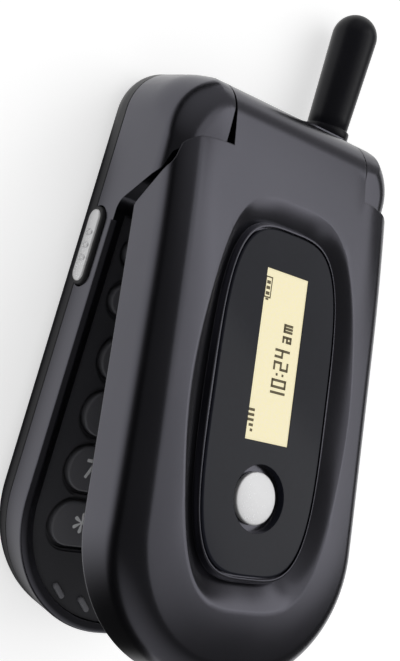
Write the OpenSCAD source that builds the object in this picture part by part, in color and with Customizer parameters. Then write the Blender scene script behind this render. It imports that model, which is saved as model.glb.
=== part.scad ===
// Flip phone with a stub antenna, a round-ended lid and a small outer display.
//
// Frame: the phone lies on its back. The origin is the middle of the flat back face, +Z points up
// through the keypad and the lid, +Y to the hinge and the antenna, +X to the phone's right side.
// Lid pieces are drawn on the closed phone and then turned about the hinge by lid_open.

/* [Body] */
// Width of the phone
body_w = 46.5; // [44:0.5:52]
// Length of the phone without its antenna
body_len = 90.6; // [88:0.2:104]
// Height of the back tub, up to the parting line
tub_h = 5.8; // [5.6:0.1:7]
// Height of the front frame above the parting line
frame_h = 5.6; // [5.4:0.1:7]
// Wall of the housings
wall = 1.3; // [1:0.1:1.6]
// Length over which the bottom end is rounded
bottom_r = 21; // [14:0.5:24]
// Width that stays straight across the bottom end
bottom_flat = 4.5; // [2:0.5:16]
// Corner radius at the hinge end
top_r = 8; // [5:0.5:8.5]
// Rounding of the long back edges
back_edge_r = 4.5; // [3:0.25:4.75]
// Rounding of the frame's rim
rim_edge_r = 1; // [0.5:0.1:1.2]

/* [Hinge] */
// Distance of the hinge axis from the top end
hinge_inset = 7.35; // [7.2:0.05:8]
// Height of the hinge axis above the rim
hinge_rise = 3.2; // [3:0.1:4]
// Radius of the barrel and of its knuckles
barrel_r = 7.2; // [6.8:0.05:7.2]
// Width of the left knuckle, which holds the detent cartridge
left_knuckle_w = 9; // [8:0.1:11]
// Width of the right knuckle, which holds the hollow pivot
right_knuckle_w = 8; // [7:0.1:10]
// Gap between barrel and knuckles, along the axis
knuckle_gap = 0.2; // [0.15:0.05:0.4]
// Extra gap at the front of the tapered left knuckle
knuckle_taper = 0.9; // [0:0.1:1.5]
// Gap between barrel and its pocket
pocket_gap = 0.3; // [0.25:0.05:0.4]
// Radius of the detent cartridge and of its cam
cartridge_r = 4.5; // [3.5:0.1:4.8]
// Radius of the cartridge's shaft
shaft_r = 1.6; // [1.2:0.1:2.2]
// Radius of the hollow pivot
pivot_r = 3.4; // [2.8:0.1:4]
// Bore of the hollow pivot, for the flat cable
pivot_bore_r = 2.2; // [1.5:0.1:2.6]
// Radial clearance of the turning fits
turn_clearance = 0.06; // [0.03:0.01:0.09]

/* [Ramp] */
// Distance of the ramp's foot from the hinge axis
ramp_foot = 15.1; // [14.8:0.1:16]
// Distance of the ramp's shoulder from the hinge axis
ramp_shoulder = 9.1; // [8.9:0.1:9.6]
// Height of the ramp's shoulder above the rim
ramp_rise = 8.1; // [7.6:0.1:8.4]
// Radius of the seam between the lid and the knuckles, about the hinge axis
seam_r = 8.5; // [8.3:0.02:8.7]

/* [Lid] */
// Thickness of the lid at its crown
lid_t = 11.4; // [11:0.1:13]
// Gap between the closed lid and the rim, also along the ramp and the seam
lid_gap = 0.3; // [0.25:0.05:0.4]
// How far the lid stops short of the bottom end
lid_setback = 1.05; // [0.5:0.05:2]
// Opening angle as stored: 0 is shut
lid_open = 14; // [0:1:142]
// Height of the lid's rounded shoulders
lid_round_h = 5.2; // [3.5:0.1:5.6]
// Width of the lid's rounded shoulders
lid_round_w = 4.2; // [3:0.1:4.4]
// Rise of the crown between the shoulders
crown_rise = 0.3; // [0.1:0.05:0.5]
// Fall of the crown towards the hinge
hinge_fall = 1.3; // [1.2:0.05:1.4]
// Fall of the crown towards the free end
free_fall = 0.8; // [0.3:0.1:1.2]
// Thickness of the inner shell
inner_shell_t = 1.4; // [1.2:0.1:1.8]

/* [Lens panel] */
// Width of the oval lens panel
lens_w = 23; // [21:0.5:25]
// Length of the oval lens panel
lens_len = 51.8; // [46:0.5:54]
// Centre of the lens panel along the lid
lens_y = -2.35; // [-4:0.05:-1]
// Squareness of the oval: 2 is an ellipse
lens_power = 3.6; // [2.6:0.1:4.5]
// Thickness of the lens panel
lens_t = 1.2; // [1:0.1:1.6]
// Depth of the dished ring at the panel's edge
moat_depth = 1.5; // [0.8:0.1:1.6]
// Width of the dished ring
moat_w = 3.6; // [2:0.1:4.5]
// Groove between the lens panel and the ring
lens_groove = 0.25; // [0.15:0.05:0.4]

/* [Outer display] */
// Width of the lit display, across the lid
display_w = 8.8; // [7:0.2:11]
// Length of the lit display, along the lid
display_len = 26; // [20:0.5:28]
// Centre of the display along the lid
display_y = 4.35; // [2:0.05:6]
// Radius of the silver disc
disc_r = 3.95; // [3:0.05:4.3]
// Thickness of the silver disc
disc_t = 0.9; // [0.6:0.1:1.2]
// Radius of the disc's recess
disc_well_r = 5.05; // [4.5:0.05:5.5]
// Centre of the disc along the lid
disc_y = -16.95; // [-19:0.05:-15]

/* [Keypad] */
// Width of a number key
key_w = 10.6; // [9:0.1:10.7]
// Height of a number key
key_h = 7.3; // [6:0.1:7.4]
// Spacing of the columns
column_pitch = 12.2; // [12:0.1:12.6]
// Spacing of the rows
row_pitch = 9; // [8.8:0.1:9.2]
// Centre of the first row
first_row_y = -0.6; // [-1.5:0.05:0]
// How far a key stands above the plate
key_proud = 0.45; // [0.2:0.05:0.5]
// Travel of a key
key_travel = 0.4; // [0.2:0.05:0.45]
// Gap around a key
key_gap = 0.4; // [0.25:0.05:0.4]
// Width of the sunk ring around each key opening
key_ring = 0.35; // [0.2:0.05:0.4]
// Depth of the keypad plate below the rim
plate_sink = 0.6; // [0.4:0.05:0.8]
// Thickness of the keypad plate
plate_t = 0.7; // [0.5:0.05:0.9]
// Thickness of the deck below the plate
deck_t = 0.6; // [0.5:0.05:0.8]
// Width of the frame's rim beside the plate
rim_w = 1.9; // [1.7:0.05:2.2]
// Centre of the navigation ring
nav_y = 12.25; // [11.9:0.05:12.8]
// Outer radius of the navigation ring
nav_r = 6.4; // [5.8:0.1:6.6]
// Radius of the select key
select_r = 2.5; // [2:0.1:2.8]
// Centre of the side keys, across the phone
side_key_x = 14.3; // [13.9:0.1:14.6]
// Width of a side key
side_key_w = 9.4; // [8:0.1:10]
// Centre of the soft keys
soft_y = 15.95; // [15.8:0.05:16.3]
// Height of a soft key
soft_h = 4.2; // [3.6:0.1:4.6]
// Centre of the send and end keys
call_y = 8.55; // [8.2:0.05:9]
// Height of the send and end keys
call_h = 5; // [4.2:0.1:5.4]

/* [Side and ends] */
// Length of the volume rocker
rocker_len = 12.6; // [10:0.1:14]
// Height of the volume rocker
rocker_h = 4; // [3:0.1:4.2]
// Centre of the volume rocker along the side
rocker_y = 15.15; // [14:0.05:16]
// Height of the rocker's middle
rocker_z = 7.1; // [7:0.05:7.3]
// How far the rocker stands out
rocker_proud = 0.8; // [0.4:0.1:1.2]
// Radius of the antenna near its tip
antenna_r = 4; // [3.4:0.1:4.1]
// Radius of the antenna at its collar
antenna_foot_r = 3.65; // [3.2:0.05:3.9]
// Length of the antenna outside the boss
antenna_len = 22.1; // [16:0.1:30]
// Distance of the antenna axis from the right side
antenna_inset = 5.85; // [5.65:0.1:6.25]
// Height of the antenna axis
antenna_z = 6; // [5.8:0.1:6.1]
// Radius of the antenna's boss
boss_r = 4.3; // [4.2:0.05:4.4]
// How far the boss stands out of the top end
boss_out = 1.5; // [0.6:0.05:2]
// Radius of the threaded stud
stud_r = 1.3; // [1:0.1:1.5]
// Radius of the brass insert
insert_r = 1.9; // [1.7:0.1:2]
// Centre of the headset jack, across the phone
jack_x = 2.2; // [1:0.1:4]
// Radius of the headset jack's hole
jack_hole_r = 1.25; // [1.25:0.5:1.75]
// Width of the rubber jack cover
jack_cover_w = 7.4; // [6:0.1:8]
// Width of the charging port
port_w = 9.4; // [7:0.1:11]

/* [Back] */
// Thickness of the battery cover
cover_t = 1.2; // [1:0.1:1.3]
// How far the battery cover reaches past the battery's upper end
cover_reach = 3; // [2.6:0.1:3.4]
// Ledge beside the battery, on which the cover slides
battery_ledge = 1.5; // [1.4:0.05:2.6]
// Length of the battery
battery_len = 46.4; // [44:0.2:48]
// Thickness of the battery
battery_t = 3.75; // [3.4:0.05:3.8]
// Distance between the charging port and the battery
port_margin = 3.45; // [3.2:0.05:4.4]

/* [Hidden] */
$fn = 48;

black = [0.07, 0.07, 0.08];
dark = [0.13, 0.13, 0.14];
key_grey = [0.2, 0.2, 0.22];
silver = [0.82, 0.82, 0.84];
steel = [0.62, 0.63, 0.65];
brass_tone = [0.78, 0.63, 0.3];
board_green = [0.1, 0.32, 0.2];
rubber_tone = [0.05, 0.05, 0.055];
cream = [0.94, 0.9, 0.72];

eps = 0.01;
seat_gap = 0.05;      // between pieces that rest on each other without being fused
slide_gap = 0.15;     // around pieces that slide
half_w = body_w / 2;
end_y = body_len / 2;
rim_z = tub_h + frame_h;
hinge_y = end_y - hinge_inset;
hinge_z = rim_z + hinge_rise;
closed_z = rim_z + lid_gap + lid_t;
lid_z = rim_z + lid_gap;
lid_end_y = -end_y + lid_setback;
ramp_y = hinge_y - ramp_foot;

// The barrel lies between the two knuckles
barrel_x0 = -half_w + left_knuckle_w + knuckle_gap;
barrel_x1 = half_w - right_knuckle_w - knuckle_gap;
knuckle_x0 = barrel_x0 - knuckle_gap;
knuckle_x1 = barrel_x1 + knuckle_gap;
ridge_drop = 0.4;                      // the ridge before the barrel ends this far below the neck
neck_z = hinge_z + 0.9;                // underside of the neck between lid and barrel
lid_wall_end = 1.5;                    // end walls of the barrel and of the right knuckle
cartridge_wall = 3.2;                  // end wall of the left knuckle, closed at its rounded corner
cam_x1 = barrel_x0 + 9.3;
shaft_x1 = barrel_x0 + 7;

// Heights in the base, from the plate down
plate_z = rim_z - plate_sink;
deck_top = plate_z - plate_t;
deck_z = deck_top - deck_t;
flange_top = deck_z - 0.1;
flange_t = 0.5;
mat_top = flange_top - flange_t - key_travel - 0.1;
mat_t = 0.6;
dome_h = 0.4;
sheet_t = 0.15;
board_t = 1;
board_top = mat_top - mat_t - seat_gap - dome_h;
board_z = board_top - board_t;
plate_end_y = ramp_y - 1.9;
board_end_y = ramp_y + 8;
board_cavity_top = board_top + 0.7;

// Heights in the lid, from the lens down, on the closed phone
lens_top = closed_z - 0.7;
lens_z = lens_top - lens_t;
lens_seat_t = 1.2;
lid_cavity_top = lens_z - lens_seat_t;
inner_top = lid_z + inner_shell_t;
inner_display_t = 2;
inner_display_z = inner_top + seat_gap;
lid_board_z = inner_display_z + inner_display_t + seat_gap;
lid_board_t = 0.8;
lid_cavity_y1 = ramp_y - 1;

// Inner window, centred on the inner shell
window_w = 32;
window_len = 41;
window_y = -10.6;
window_t = 0.8;
window_lip = 1.2;
grille_y = window_y + window_len / 2 + 4.6;

// Charging port at the bottom end
port_h = 2.8;
port_len = 6;
port_z = 4.1;
port_y0 = -end_y + 0.45;

// Battery bay and cover
cover_w = body_w - 2 * back_edge_r - 0.3;
battery_w = cover_w - 2 * battery_ledge;
battery_top_y = port_y0 + port_len + port_margin + battery_len;
cover_top_y = battery_top_y + cover_reach;
bay_floor = cover_t + slide_gap;
bay_gap = 0.5;
bay_top = bay_floor + battery_t + seat_gap;
cover_travel = 6;
tab_len = 5;
tab_out = 0.7;

// Places of the screws
base_screws = [for (p = [[2.85, -27], [3.95, end_y - 11.8]], s = [1, -1]) [s * (half_w - p[0]), p[1]]];
lid_screw_places = [for (p = [[5.65, 14.4], [10.25, -36.6]], s = [1, -1]) [s * (half_w - p[0]), p[1]]];
post_r = 1.6;
screw_r = 0.75;
head_r = 1.4;

// Places of the four slanted rest pads on the plate
rest_pad_places = [[12.5, -38.6, 44], [7, -40.5, 44]];

// ---------- outlines ----------

function arc(c, r, a0, a1, n) =
    [for (i = [0:n]) let (a = a0 + (a1 - a0) * i / n) c + r * [cos(a), sin(a)]];

// Right half of the body's outline from the bottom end to the hinge end, mirrored to close it.
// Both halves have the same number of points, so point i and its mirror lie at the same y.
side_steps = 6;
function half_outline(y0, inset) =
    let (
        hw = half_w - inset,
        rb = max(bottom_r - inset, 0.5),
        rx = hw - bottom_flat / 2,
        rt = max(top_r - inset, 0.5),
        ya = y0 + inset + rb,
        yb = end_y - inset - rt
    )
    concat(
        [for (p = arc([0, 0], 1, -90, 0, 12)) [bottom_flat / 2 + rx * p[0], ya + rb * p[1]]],
        [for (i = [1:side_steps - 1]) [hw, ya + (yb - ya) * i / side_steps]],
        arc([hw - rt, yb], rt, 0, 90, 6)
    );
function mirrored(half) =
    concat(half, [for (i = [len(half) - 1:-1:0]) [-half[i][0], half[i][1]]]);
function outline(y0, inset) = mirrored(half_outline(y0, inset));

// Solid between rings of the body's outline. Each level is [z, inset, share of the crown's fall].
module loft(levels, y0) {
    n = len(outline(y0, 0));
    h = n / 2;
    m = len(levels);
    points = [for (lv = levels) for (p = outline(y0, lv[1])) [p[0], p[1], lv[0] - lv[2] * fall(p[1])]];
    sides = [for (k = [0:m - 2]) for (i = [0:n - 1]) let (
            a = k * n + i,
            b = k * n + (i + 1) % n
        ) each [[a, b + n, b], [a, a + n, b + n]]];
    caps = [for (i = [0:h - 2]) let (j = n - 1 - i) each [
            [i, i + 1, j], [i + 1, j - 1, j],
            [i + (m - 1) * n, j + (m - 1) * n, i + 1 + (m - 1) * n],
            [i + 1 + (m - 1) * n, j + (m - 1) * n, j - 1 + (m - 1) * n]
        ]];
    polyhedron(points = points, faces = concat(sides, caps), convexity = 4);
}

// The crown falls along arcs towards the hinge and towards the free end
fall_start = 10;
free_start = -18;
function fall(y) =
    y > fall_start ? hinge_fall * pow((y - fall_start) / (hinge_y - fall_start), 2)
    : y < free_start ? free_fall * pow((y - free_start) / (lid_end_y - free_start), 2)
    : 0;

// Back tub: quarter-round back edges
module tub_form() {
    steps = 6;
    loft(concat(
        [for (i = [0:steps]) let (a = 90 * i / steps)
            [back_edge_r * (1 - cos(a)), back_edge_r * (1 - sin(a)), 0]],
        [[tub_h, 0, 0]]
    ), -end_y);
}

// Front frame up to its rim
module frame_form() {
    steps = 4;
    loft(concat(
        [[tub_h, 0, 0]],
        [for (i = [0:steps]) let (a = 90 * i / steps)
            [rim_z - rim_edge_r * (1 - sin(a)), rim_edge_r * (1 - cos(a)), 0]]
    ), -end_y);
}

// What the lid and the knuckles share, so that they are flush on the closed phone
module upper_form(z0, y0) {
    steps = 7;
    lower_edge = 0.8;
    loft(concat(
        z0 > tub_h ? [[z0, lower_edge, 0], [z0 + lower_edge / 3, lower_edge / 4, 0]] : [],
        [[z0 + lower_edge, 0, 0]],
        [for (i = [0:steps]) let (a = 90 * i / steps) [
            closed_z - crown_rise - lid_round_h * (1 - sin(a)),
            lid_round_w * (1 - cos(a)),
            sin(a)
        ]],
        [[closed_z, lid_round_w + 7, 1]]
    ), y0);
}

// ---------- side profiles, drawn in Y and Z ----------

function unit(v) = v / norm(v);
function left_of(v) = [-v[1], v[0]];
// Corner b of the path a-b-c, moved to the left of the path by d
function moved_corner(a, b, c, d) =
    let (n1 = left_of(unit(b - a)), n2 = left_of(unit(c - b)))
    b + d * (n1 + n2) / (1 + n1 * n2);
// Corner b of the path a-b-c, rounded with radius r
function rounded_corner(a, b, c, r, n) =
    let (
        u = unit(a - b),
        v = unit(c - b),
        half = acos(u * v) / 2,
        centre = b + unit(u + v) * r / sin(half),
        p = b + u * r / tan(half),
        q = b + v * r / tan(half),
        a0 = atan2(p[1] - centre[1], p[0] - centre[0]),
        a1 = atan2(q[1] - centre[1], q[0] - centre[0]),
        turn = a1 - a0 > 180 ? a1 - a0 - 360 : a1 - a0 < -180 ? a1 - a0 + 360 : a1 - a0
    )
    [for (i = [0:n]) centre + r * [cos(a0 + turn * i / n), sin(a0 + turn * i / n)]];

hinge = [hinge_y, hinge_z];
seam_a0 = 138;
function on_seam(a, d) = hinge + (seam_r + d) * [cos(a), sin(a)];
// Highest angle of the seam: where it meets the crown
function seam_top(d) = 180 - asin((closed_z - hinge_fall + 0.4 - hinge_z) / (seam_r + d));

// Ramp from the rim up to the knuckle's seam, moved towards the lid by d
function ramp(d) =
    let (
        a = [ramp_y - 30, rim_z],
        b = [ramp_y, rim_z],
        c = [hinge_y - ramp_shoulder, rim_z + ramp_rise],
        e = on_seam(seam_a0, 0),
        b1 = moved_corner(a, b, c, d),
        c1 = moved_corner(b, c, e, d),
        e1 = on_seam(seam_a0, d)
    )
    concat(
        rounded_corner([a[0], b1[1]], b1, c1, 3 - d, 5),
        rounded_corner(b1, c1, e1, 2.2 + d, 5),
        arc(hinge, seam_r + d, seam_a0, seam_top(d), 4)
    );

above_z = closed_z + 5;
ledge_angle = -62;
ledge_z = tub_h + 4.1;
module along_x(x0, x1) {
    translate([x0, 0, 0])
        rotate([90, 0, 90])
            linear_extrude(x1 - x0)
                children();
}

// Base between the ramp's foot and the top end, with the knuckle's round rear
module base_profile() {
    polygon(concat(
        [[ramp_y - 3, tub_h], [ramp_y - 3, rim_z]],
        ramp(0),
        [[on_seam(seam_top(0), 0)[0], above_z], [hinge_y, above_z]],
        arc(hinge, barrel_r, 90, ledge_angle, 20),
        [[end_y, ledge_z], [end_y, tub_h]]
    ));
}

// Lid beside the barrel: all above the rim, the ramp and the seam
module lid_profile() {
    polygon(concat(
        [[-end_y - 5, lid_z]],
        ramp(lid_gap),
        [[on_seam(seam_top(lid_gap), lid_gap)[0], above_z], [-end_y - 5, above_z]]
    ));
}

module at_hinge() {
    translate([0, hinge_y, hinge_z])
        children();
}

// Cylinder along X between two places
module x_cylinder(x0, x1, r) {
    translate([x0, 0, 0])
        rotate([0, 90, 0])
            cylinder(h = x1 - x0, r = r);
}

module y_cylinder(y0, y1, r) {
    translate([0, y0, 0])
        rotate([-90, 0, 0])
            cylinder(h = y1 - y0, r = r);
}

// Box between two corners
module box(low, high) {
    translate(low)
        cube(high - low);
}

// Everything drawn on the closed lid, turned to its stored angle
module on_lid() {
    at_hinge()
        rotate([-lid_open, 0, 0])
            translate([0, -hinge_y, -hinge_z])
                children();
}

// ---------- small shapes ----------

// Bar with round ends, centred, lying along X
module stadium(w, h) {
    square([max(w - h, eps), h], center = true);
    for (s = [-1, 1])
        translate([s * (w - h) / 2, 0])
            circle(d = h);
}

module stadium_bar(w, h, z0, z1) {
    translate([0, 0, z0])
        linear_extrude(z1 - z0)
            stadium(w, h);
}

// Bar with round ends whose upper edge is chamfered
module chamfered_bar(w, h, z0, z1, chamfer) {
    stadium_bar(w, h, z0, z1 - chamfer);
    run = (w - h) / 2;
    for (s = [-1, 1])
        translate([s * run, 0, z1 - chamfer])
            cylinder(h = chamfer, r1 = h / 2, r2 = h / 2 - chamfer);
    along_x(-run, run)
        polygon([
            [-h / 2, z1 - chamfer], [h / 2, z1 - chamfer],
            [h / 2 - chamfer, z1], [-h / 2 + chamfer, z1]
        ]);
}

module ring_bar(r_out, r_in, z0, z1) {
    translate([0, 0, z0])
        difference() {
            cylinder(h = z1 - z0, r = r_out);
            translate([0, 0, -eps])
                cylinder(h = z1 - z0 + 2 * eps, r = r_in);
        }
}

// Points of the lens panel's oval
oval_steps = 64;
function oval(grow) =
    [for (i = [0:oval_steps - 1]) let (
            t = 360 * (i + 0.5) / oval_steps,
            x = lens_w / 2 + grow,
            y = lens_len / 2 + grow
        ) [x * sign(cos(t)) * pow(abs(cos(t)), 2 / lens_power),
           y * sign(sin(t)) * pow(abs(sin(t)), 2 / lens_power)]];

module oval_slab(grow, z0, z1) {
    translate([0, lens_y, z0])
        linear_extrude(z1 - z0)
            polygon(oval(grow));
}

// ---------- keys ----------

// Column -1, 0, 1 and row 0 to 3
function key_place(column, row) = [column * column_pitch, first_row_y - row * row_pitch];

number_keys = [for (row = [0:3]) for (column = [-1:1]) key_place(column, row)];
side_keys = [
    [-side_key_x, soft_y, soft_h], [side_key_x, soft_y, soft_h],
    [-side_key_x, call_y, call_h], [side_key_x, call_y, call_h]
];

// Slab of the body's outline, with its edge moved in by inset
module key_area(inset, z0, z1) {
    translate([0, 0, z0])
        linear_extrude(z1 - z0)
            polygon(outline(-end_y, inset));
}

// One key: a cap that comes through the plate, on a flange below the deck
module key_solid(place, w, h) {
    flange = 2 * (key_gap + 0.15);
    translate([place[0], place[1], 0]) {
        chamfered_bar(w, h, flange_top - eps, plate_z + key_proud, 0.3);
        stadium_bar(w + flange, h + flange, flange_top - flange_t, flange_top);
    }
}

module number_key(column, row) {
    color(key_grey)
        key_solid(key_place(column, row), key_w, key_h);
}

module side_key(i) {
    color(key_grey)
        key_solid(side_keys[i], side_key_w, side_keys[i][2]);
}

// All key openings with a margin around the keys
module key_openings(margin, z0, z1) {
    for (p = number_keys)
        translate(p)
            stadium_bar(key_w + 2 * margin, key_h + 2 * margin, z0, z1);
    for (p = side_keys)
        translate([p[0], p[1], 0])
            stadium_bar(side_key_w + 2 * margin, p[2] + 2 * margin, z0, z1);
    translate([0, nav_y, z0])
        cylinder(h = z1 - z0, r = nav_r + margin);
}

// ---------- base ----------

// Room for the rocker's body and flange behind the side wall
rocker_flange = 0.6;
rocker_flange_x = -half_w + wall + 0.45;
rocker_flange_t = 0.5;
module rocker_room() {
    grow = rocker_flange + 0.25;
    box(
        [-half_w + wall, rocker_y - rocker_len / 2 - grow - 0.2, rocker_z - rocker_h / 2 - grow],
        [
            rocker_flange_x + rocker_flange_t + 0.4,
            rocker_y + rocker_len / 2 + grow + 0.2,
            rocker_z + rocker_h / 2 + grow
        ]
    );
    translate([-half_w - 2, rocker_y, rocker_z])
        rotate([90, 0, 90])
            linear_extrude(wall + 2 + eps)
                stadium(rocker_len + 0.5, rocker_h + 0.5);
}

// Antenna boss at the right of the top end: a bar with round ends, wider than the antenna
antenna_x = half_w - antenna_inset;
boss_end_y = end_y + boss_out;
boss_run = 5.9;        // how much wider than high the boss is, towards the middle
module antenna_boss() {
    translate([antenna_x - boss_run / 2, boss_end_y, antenna_z])
        rotate([90, 0, 0])
            stadium_bar(boss_run + 2 * boss_r, 2 * boss_r, 0, boss_out + 5.6);
}

jack_z = 4.4;
jack_w = 6.2;
jack_h = 4.2;
jack_len = 8;
jack_y1 = end_y - wall;
module jack_room() {
    translate([jack_x, 0, jack_z]) {
        y_cylinder(jack_y1 - eps, end_y + eps, jack_hole_r + 0.45);
        box([-jack_w / 2 - seat_gap, jack_y1 - jack_len - seat_gap, -jack_h / 2 - seat_gap],
            [jack_w / 2 + seat_gap, jack_y1, jack_h / 2 + seat_gap]);
    }
}

module port_room() {
    box([-port_w / 2 - seat_gap, -end_y - 1, port_z - port_h / 2 - seat_gap],
        [port_w / 2 + seat_gap, port_y0 + port_len + seat_gap, port_z + port_h / 2 + seat_gap]);
}

// Sliding tabs of the battery cover, beside the bay, and the slots over the ledge that hold them
tab_places = [4, -16];
tab_x0 = battery_w / 2 + bay_gap + 0.3;
tab_x1 = cover_w / 2 + tab_out;
module cover_tabs(grow, travel) {
    for (y = tab_places)
        for (s = [0, 1])
            mirror([s, 0, 0])
                box([tab_x0 - grow, y - tab_len / 2 - grow - travel, cover_t - eps],
                    [tab_x1 + grow, y + tab_len / 2 + grow, cover_t + 1 + grow]);
}

cavity_y0 = cover_top_y + 1.2;
speaker_place = [9.5, cavity_y0 + 8.3];
speaker_r = 6.3;
speaker_h = 3.6;
screw_boss_r = 2.3;

module rear_housing() {
    color(black)
        difference() {
            tub_form();
            // cover recess, open at the bottom end
            box([-cover_w / 2 - slide_gap, -end_y - 1, -1],
                [cover_w / 2 + slide_gap, cover_top_y + slide_gap, cover_t + seat_gap]);
            // battery bay
            box([-battery_w / 2 - bay_gap, battery_top_y - battery_len - bay_gap, -1],
                [battery_w / 2 + bay_gap, battery_top_y + bay_gap, bay_top]);
            cover_tabs(slide_gap, cover_travel);
            // upper cavity, with its screw bosses left standing
            difference() {
                translate([0, 0, wall])
                    linear_extrude(tub_h)
                        intersection() {
                            polygon(outline(-end_y, wall + 1.2));
                            translate([-half_w, cavity_y0])
                                square([body_w, end_y - cavity_y0 - wall - 0.6]);
                        }
                for (p = base_screws)
                    translate([p[0], p[1], 0])
                        cylinder(h = tub_h, r = screw_boss_r);
            }
            jack_room();
            port_room();
            rocker_room();
            antenna_boss();
            // sound slots below the loudspeaker
            for (i = [-2:2])
                translate([speaker_place[0], speaker_place[1] + i * 1.9, -eps])
                    stadium_bar(8 - abs(i), 0.8, 0, wall + 2 * eps);
            // screw holes with sunk heads
            for (p = base_screws)
                translate([p[0], p[1], -eps]) {
                    cylinder(h = tub_h + 1, r = screw_r + seat_gap);
                    cylinder(h = 2.2, r = head_r + 0.15);
                }
        }
}

// Opening between the knuckles for the barrel and the lid's neck
module barrel_pocket() {
    at_hinge()
        x_cylinder(knuckle_x0, knuckle_x1, barrel_r + pocket_gap);
    box([knuckle_x0, ramp_y - 2, neck_z - ridge_drop], [knuckle_x1, hinge_y, above_z]);
    // the left knuckle's inner end tapers towards the seam
    translate([0, 0, neck_z - ridge_drop])
        linear_extrude(above_z - neck_z)
            polygon([
                [knuckle_x0 + eps, hinge_y + barrel_r], [knuckle_x0 + eps, ramp_y],
                [knuckle_x0 - knuckle_taper, hinge_y - ramp_shoulder]
            ]);
}

module front_housing() {
    color(black)
        difference() {
            union() {
                frame_form();
                intersection() {
                    upper_form(tub_h, -end_y);
                    along_x(-half_w, half_w)
                        base_profile();
                }
                antenna_boss();
            }
            // keypad plate's recess
            intersection() {
                key_area(rim_w, deck_top, above_z);
                box([-half_w, -end_y, deck_top], [half_w, plate_end_y + 0.1, above_z]);
            }
            // room below the deck
            difference() {
                intersection() {
                    key_area(wall, tub_h - eps, deck_z);
                    union() {
                        box([-half_w, -end_y, 0], [half_w, plate_end_y, deck_z]);
                        box([-half_w, -end_y, 0], [half_w, board_end_y + 0.3, board_cavity_top]);
                    }
                }
                for (p = base_screws)
                    translate([p[0], p[1], 0])
                        cylinder(h = rim_z, r = post_r);
            }
            key_openings(key_gap, deck_z - eps, deck_top + eps);
            barrel_pocket();
            // space above the rear ledge, which the opened lid sweeps
            along_x(knuckle_x0, knuckle_x1)
                polygon([
                    [hinge_y + 3.4, hinge_z - barrel_r + 0.84], [end_y, ledge_z],
                    [end_y + 3, ledge_z + 1.6], [end_y + 3, above_z], [hinge_y, above_z]
                ]);
            at_hinge() {
                x_cylinder(-half_w + cartridge_wall, knuckle_x0 + eps, cartridge_r + seat_gap);
                x_cylinder(knuckle_x1 - eps, half_w - lid_wall_end, pivot_r);
            }
            jack_room();
            rocker_room();
            // antenna insert and stud
            translate([antenna_x, 0, antenna_z])
                y_cylinder(insert_y0 - seat_gap, boss_end_y + eps, insert_r);
            // sound hole of the microphone
            translate([mic_place[0], mic_place[1], deck_z - eps])
                cylinder(h = deck_t + 2 * eps, r = 0.8);
            for (p = base_screws)
                translate([p[0], p[1], tub_h - eps])
                    cylinder(h = screw_len - tub_h, r = screw_r);
        }
}

module plate_outline_cut() {
    box([-half_w, -end_y, deck_top], [half_w, plate_end_y, rim_z]);
}

module pad_places() {
    for (p = rest_pad_places)
        for (s = [-1, 1])
            translate([s * p[0], p[1], 0])
                rotate([0, 0, s * p[2]])
                    children();
}

module keypad_plate() {
    color(dark)
        difference() {
            intersection() {
                key_area(rim_w + 0.1, deck_top + eps, plate_z);
                plate_outline_cut();
            }
            key_openings(key_gap, deck_top - eps, plate_z + eps);
            key_openings(key_gap + key_ring, plate_z - 0.35, plate_z + eps);
            pad_places()
                stadium_bar(3.2, 1, plate_z - 0.4, plate_z + 1);
            translate([mic_place[0], mic_place[1], deck_top - eps])
                cylinder(h = plate_t + 2 * eps, r = 0.6);
        }
}

module rest_pads() {
    color(rubber_tone)
        pad_places()
            chamfered_bar(3.2, 1, plate_z - 0.4, plate_z + 0.5, 0.2);
}

module battery_cover() {
    color(black)
        difference() {
            union() {
                intersection() {
                    tub_form();
                    box([-cover_w / 2, -end_y - 1, -1], [cover_w / 2, cover_top_y, cover_t]);
                }
                cover_tabs(0, 0);
            }
            // thumb grooves
            for (i = [0:3])
                translate([0, cover_top_y - 4 - i * 1.6, -eps])
                    stadium_bar(12 - i * 1.5, 0.7, 0, 0.35);
        }
}

module battery() {
    color(steel)
        box([-battery_w / 2, battery_top_y - battery_len, bay_floor],
            [battery_w / 2, battery_top_y, bay_floor + battery_t]);
}

// Three spring blades on the bay's upper wall
module battery_contacts() {
    color(brass_tone)
        for (i = [-1:1])
            box([4 * i - 0.8, battery_top_y + bay_gap - 0.4, bay_floor + 0.6],
                [4 * i + 0.8, battery_top_y + bay_gap, bay_floor + 3]);
}

module main_board() {
    color(board_green)
        difference() {
            intersection() {
                key_area(wall + 0.3, board_z, board_top);
                box([-half_w, -end_y, 0], [half_w, board_end_y, rim_z]);
            }
            for (p = base_screws)
                translate([p[0], p[1], board_z - eps])
                    cylinder(h = board_t + 2 * eps, r = post_r + 0.2);
            box([-half_w, rocker_y - rocker_len / 2 - 1.6, 0],
                [rocker_flange_x + rocker_flange_t + 0.45, rocker_y + rocker_len / 2 + 1.6, rim_z]);
        }
}

module shield_can() {
    color(steel)
        difference() {
            box([-19, cavity_y0 + 0.8, board_z - 2.6], [-2, board_end_y - 1, board_z - seat_gap]);
            box([-18.7, cavity_y0 + 1.1, board_z - 2.3], [-2.3, board_end_y - 1.3, board_z]);
        }
}

module dome_sheet() {
    color(silver)
        translate([0, 0, board_top]) {
            key_sheet(0, sheet_t);
            for (p = concat(number_keys, [for (k = side_keys) [k[0], k[1]]], [[0, nav_y]]))
                translate([p[0], p[1], sheet_t - eps])
                    cylinder(h = dome_h - sheet_t, r1 = 2.2, r2 = 1.5);
        }
}

// Sheet below all keys, between the screw posts
sheet_half_w = half_w - 4.85;
module key_sheet(z0, z1) {
    box([-sheet_half_w, first_row_y - 3 * row_pitch - key_h / 2, z0],
        [sheet_half_w, soft_y + soft_h / 2 + 0.8, z1]);
}

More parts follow.
